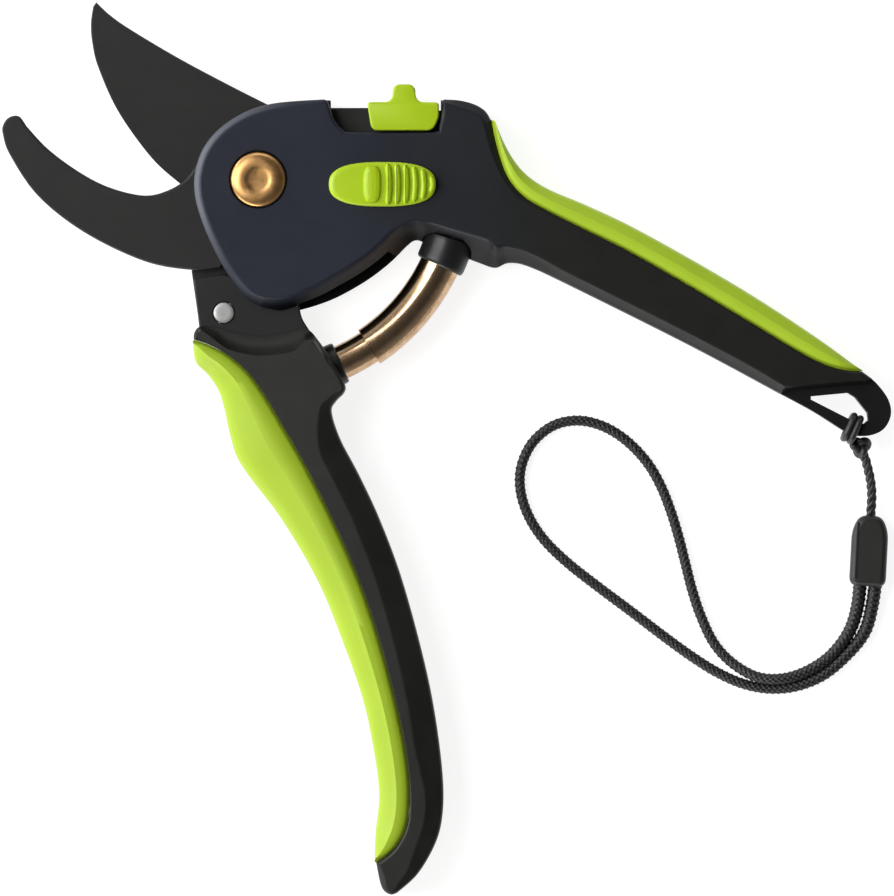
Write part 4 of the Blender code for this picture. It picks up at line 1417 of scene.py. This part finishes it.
LEVER_SHOULDER = [
    (-14.5, -35.9),
    (-14.4, -34.4),
    (-13.2, -33.0),
    (-10.2, -33.0),
    (-5.4, -34.4),
    (0.6, -35.2),
    (6.4, -34.6),
    (10.4, -33.4),
    (12.3, -34.6),
]
LEVER_COLLAR = [(12.3, -34.6), (15.4, -38.9), (19.4, -45.9), (18.9, -48.3)]
LEVER_INNER = [
    (18.9, -48.3),
    (17.3, -49.9),
    (16.4, -52.2),
    (18.4, -58.4),
    (22.5, -66.2),
    (27.3, -76.5),
    (32.3, -90.0),
    (37.2, -108.0),
    (39.9, -121.5),
    (41.5, -135.0),
    (41.3, -143.5),
    (39.6, -149.6),
    (35.8, -156.0),
    (31.2, -160.2),
]
LEVER_END = [(31.2, -160.2), (29.6, -160.6), (27.7, -158.9), (26.5, -153.6)]
LEVER_SEAM = [
    (26.5, -153.6),
    (31.0, -149.8),
    (33.7, -143.5),
    (33.7, -132.5),
    (31.0, -117.7),
    (25.8, -98.7),
    (19.7, -82.8),
    (11.5, -65.9),
    (4.2, -53.0),
    (0.8, -47.4),
    (-2.7, -42.9),
    (-7.0, -39.3),
    (-11.3, -37.0),
    (-14.5, -35.9),
]
LEVER_OUTER = [
    (26.1, -153.2),
    (26.3, -147.0),
    (27.1, -138.5),
    (26.1, -129.5),
    (23.5, -117.0),
    (18.8, -103.5),
    (13.2, -90.0),
    (5.3, -76.5),
    (-1.5, -67.5),
    (-4.9, -62.3),
    (-6.5, -57.0),
    (-7.6, -52.0),
    (-8.9, -47.6),
    (-11.4, -43.8),
    (-14.1, -41.0),
    (-14.8, -36.4),
]


def handle_edge(rim_width, rim_drop, fall_width, fall):
    """Section of the lower handle's edge, back and front: a rounded rim, then a slope up to a crease."""
    front = [
        (0.0, 8.0),
        (0.0, BODY_TOP - fall - rim_drop),
        (rim_width * 0.12, BODY_TOP - fall - rim_drop * 0.55),
        (rim_width * 0.45, BODY_TOP - fall - rim_drop * 0.18),
        (rim_width, BODY_TOP - fall),
        (rim_width + fall_width * 0.5, BODY_TOP - fall * 0.45),
        (rim_width + fall_width * 0.92, BODY_TOP - fall * 0.04),
        (rim_width + fall_width, BODY_TOP),
        (rim_width + fall_width + 0.3, BODY_TOP),
    ]
    back = [
        (rim_width + 0.6, 0.0),
        (rim_width, 0.0),
        (rim_width * 0.45, rim_drop * 0.18),
        (rim_width * 0.12, rim_drop * 0.55),
        (0.0, rim_drop),
    ]
    return [*back, *front]


def ramped_edge(width):
    """Section of the handle's shoulder: a scooped ramp from the neck plate up to the handle's face."""
    front = [
        (0.0, 8.0),
        (0.0, 12.1),
        (width * 0.06, 12.25),
        (width * 0.25, 12.6),
        (width * 0.50, 13.3),
        (width * 0.75, 14.4),
        (width * 0.95, 15.6),
        (width + 0.05, BODY_TOP),
        (width + 0.4, BODY_TOP),
    ]
    return [(1.6, 0.0), (1.0, 0.0), (0.45, 0.2), (0.12, 0.55), (0.0, 1.0), *front]


def lower_handle(look):
    """The lower handle: scooped under its shoulder, creased down its length and thinly rimmed inside."""
    crisp = handle_edge(0.2, 0.3, 0.1, 0.0)
    plain_rim = handle_edge(0.8, 0.9, 0.3, 0.0)
    ramp = ramped_edge(4.3)
    creased = handle_edge(0.9, 1.0, 4.7, 1.9)
    narrow = handle_edge(0.9, 1.0, 3.0, 1.5)
    runs = [
        (LEVER_SHOULDER, [plain_rim, ramped_edge(1.2), ramped_edge(3.4), *[ramp] * 4, ramped_edge(2.4)]),
        (LEVER_COLLAR, [ramped_edge(1.0), plain_rim, plain_rim]),
        (LEVER_INNER, [plain_rim, *[creased] * 7, narrow, narrow, plain_rim]),
        (LEVER_END, [plain_rim, handle_edge(1.0, 1.2, 0.5, 0.1), plain_rim]),
        (LEVER_SEAM, [plain_rim, *[crisp] * 6]),
    ]
    piece = plate("lower_handle_moulding", runs)
    pocket = [(-15.5, -30.0), (-14.0, -33.8)]
    for run in (TANG_LEFT, TANG_TIP, TANG_RIGHT):
        line = flow(run, 4)
        for index, point in enumerate(line):
            way = (line[min(index + 1, len(line) - 1)] - line[max(index - 1, 0)]).normalized()
            pocket.append(tuple(point - 0.35 * Vector((-way.y, way.x))))
    trimmed(piece, drum(pocket, 2.6, 11.9))
    trimmed(piece, wrapped("cutter", guide_rows(along_guide(-72.2, -55.0, 4.2), 32)))
    trimmed(piece, wrapped("cutter", guide_rows(along_guide(-70.1, -55.0, 5.2), 32)))
    return finished(piece, "lower_lever", look, ["lever_handle"], 24)


# ---------------------------------------------------------------- lock and selector

LOCK_PLATE = [
    (24.5, 17.0),
    (25.3, 11.9),
    (26.2, 11.0),
    (38.6, 11.0),
    (39.6, 11.7),
    (40.6, 14.0),
    (40.6, 17.3),
    (36.4, 17.4),
    (35.5, 18.2),
    (35.1, 20.6),
    (34.4, 21.4),
    (31.2, 21.4),
    (30.4, 20.6),
    (30.0, 18.2),
    (29.1, 17.4),
    (25.0, 17.4),
]


def lock_tee(look):
    """The lock slider: a T-shaped thumb plate, its bridge over the jaw's tail and its foot."""
    piece = drum(rounded_corners(LOCK_PLATE, 0.8, 6), 12.1, 15.9)
    only(piece)
    soften = piece.modifiers.new("soft_edges", "BEVEL")
    soften.width = 0.45 * MM
    soften.segments = 5
    soften.limit_method = "ANGLE"
    soften.angle_limit = math.radians(60)
    soften.use_clamp_overlap = False
    bpy.ops.object.modifier_apply(modifier=soften.name)
    bridge = [(30.0, 16.7), (35.3, 16.7), (35.3, 20.4), (34.6, 21.2), (30.8, 21.2), (30.2, 20.4)]
    foot = [(29.5, 8.0), (35.3, 8.0), (35.3, 18.5), (30.0, 18.5), (29.5, 17.0)]
    foot_piece = drum(foot, 5.3, 7.7)
    bridge_piece = drum(rounded_corners(bridge, 0.4), 5.3, 14.0)
    whole = gathered("lock_thumb_slider", [piece, bridge_piece, foot_piece])
    return finished(whole, "lock", look, ["lock_slider"], 12)


def selector(look):
    """The oval selector: a domed base, a raised thumb pad and a row of ribs that shorten with the oval."""
    x, y = SELECTOR_AT
    base = [(0.4, 16.3), (0.1, 16.3), (0.0, 16.45), (0.0, 16.8)]
    base += [(0.15, 17.15), (0.5, 17.4), (1.0, 17.5), (1.5, 17.52)]
    parts = [plate("oval_selector", straight(oval((x, y), (24.0, 10.0), 2.6), base), 0.4)]
    parts.append(plate("stem", box_runs((x, y), (5.0, 3.4), 1.2, [(0, 13.4), (0, 17.4)]), 0.4))
    pad = [(0.0, 17.1), (0.0, 17.7), (0.25, 18.12), (0.75, 18.3), (1.2, 18.34)]
    parts.append(plate("pad", straight(oval((25.6, y), (3.9, 8.3), 3.0), pad), 0.3))
    squareness = 2.6
    for index in range(6):
        middle = 29.1 + 1.95 * index
        inset = (middle + 0.5 - x) / 12.0
        tall = 9.5 * (1 - inset**squareness) ** (1 / squareness) - 0.3
        rib = [(0.0, 17.1), (0.0, 17.6), (0.12, 17.95), (0.3, 18.18), (0.5, 18.28)]
        bowed = [(middle + 0.35 * (1 - (2 * h / tall) ** 2), y + h) for h in (-0.5 * tall, 0.0, 0.5 * tall)]
        parts.append(plate("rib", straight(rib_outline(bowed, 1.45), rib), 0.3))
    whole = gathered("oval_selector", parts)
    return finished(whole, "selector", look, ["selector_button"])


def rib_outline(spine, wide):
    """The outline of a bowed rib with round ends."""
    line = evenly(spine, 12)
    low, high = line[0].y, line[-1].y
    edge = []
    for point in line:
        room = min(1.0, 0.35 + (point.y - low) / 0.9, 0.35 + (high - point.y) / 0.9)
        edge.append((point, wide / 2 * room))
    right = [(p.x + half, p.y) for p, half in edge]
    left = [(p.x - half, p.y) for p, half in reversed(edge)]
    return [*right, *left, right[0]]


# ---------------------------------------------------------------- the whole tool


def build():
    """Every piece of the tool, with its materials, in its studio."""
    studio()
    cord_look = braided_cord("black_braid")
    bead_look = moulded("bead_plastic", (0.013, 0.013, 0.012), (0.018, 0.018, 0.017), 0.42)
    black = moulded("black_fitting", (0.008, 0.008, 0.009), (0.012, 0.012, 0.012), 0.36)
    cord, total, path = wrist_cord(cord_look)
    leader = leader_cord(cord_look)
    knot(cord_look)
    hitch(cord_look)
    slider = bead(bead_look)
    shell = head_plastic()
    handle = moulded("black_handle", (0.0070, 0.0072, 0.0058), (0.0105, 0.0107, 0.0088), 0.44)
    rubber = (0.5, 2200.0, 0.014, 0.05)
    # The lower grip is the same lime rubber as the upper grip, painted darker as painted shade.
    lime = moulded("lime_lower_grip_shaded", (0.245, 0.355, 0.008), (0.275, 0.39, 0.011), *rubber)
    upper_lime = moulded("lime_upper_grip", (0.30, 0.44, 0.010), (0.34, 0.485, 0.014), *rubber)
    gloss_lime = moulded("lime_button", (0.305, 0.445, 0.005), (0.34, 0.49, 0.008), 0.34, 3000.0, 0.006)
    steel = plain_steel("bright_steel")
    front_half(shell)
    back_half(shell)
    upper = soft_grip("upper_soft_grip", UPPER_SEAM, UPPER_OUTER, -0.3, (0.5, 15.95, 14.7, 12.0))
    finished(upper, "upper_lever", upper_lime, ["upper_grip"], 38)
    lower = soft_grip("lower_soft_grip", LEVER_SEAM, LEVER_OUTER, 0.3, (0.4, 16.0, 13.6, 10.8))
    finished(lower, "lower_lever", lime, ["lever_grip"], 38)
    cutting_blade(coated_steel("coated_blade", 125.0))
    hooked_jaw(coated_steel("coated_hook", 150.0))
    neck_plates(coated_steel("coated_neck", 120.0))
    pivot(turned_copper(), steel)
    neck_rivet(plain_steel("satin_rivet_steel", 0.42, 0.46))
    shell_screws(steel)
    spring_guide(drawn_bronze("bronze_gold", (0.40, 0.25, 0.13), (0.62, 0.43, 0.27)), black)
    return_spring(steel)
    lower_handle(handle)
    lock_tee(gloss_lime)
    selector(gloss_lime)
    for node, look in (("bolt_washer", steel), ("pivot_bush", steel), ("selector_keeper", black)):
        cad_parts[node].data.materials.clear()
        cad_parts[node].data.materials.append(look)


build()
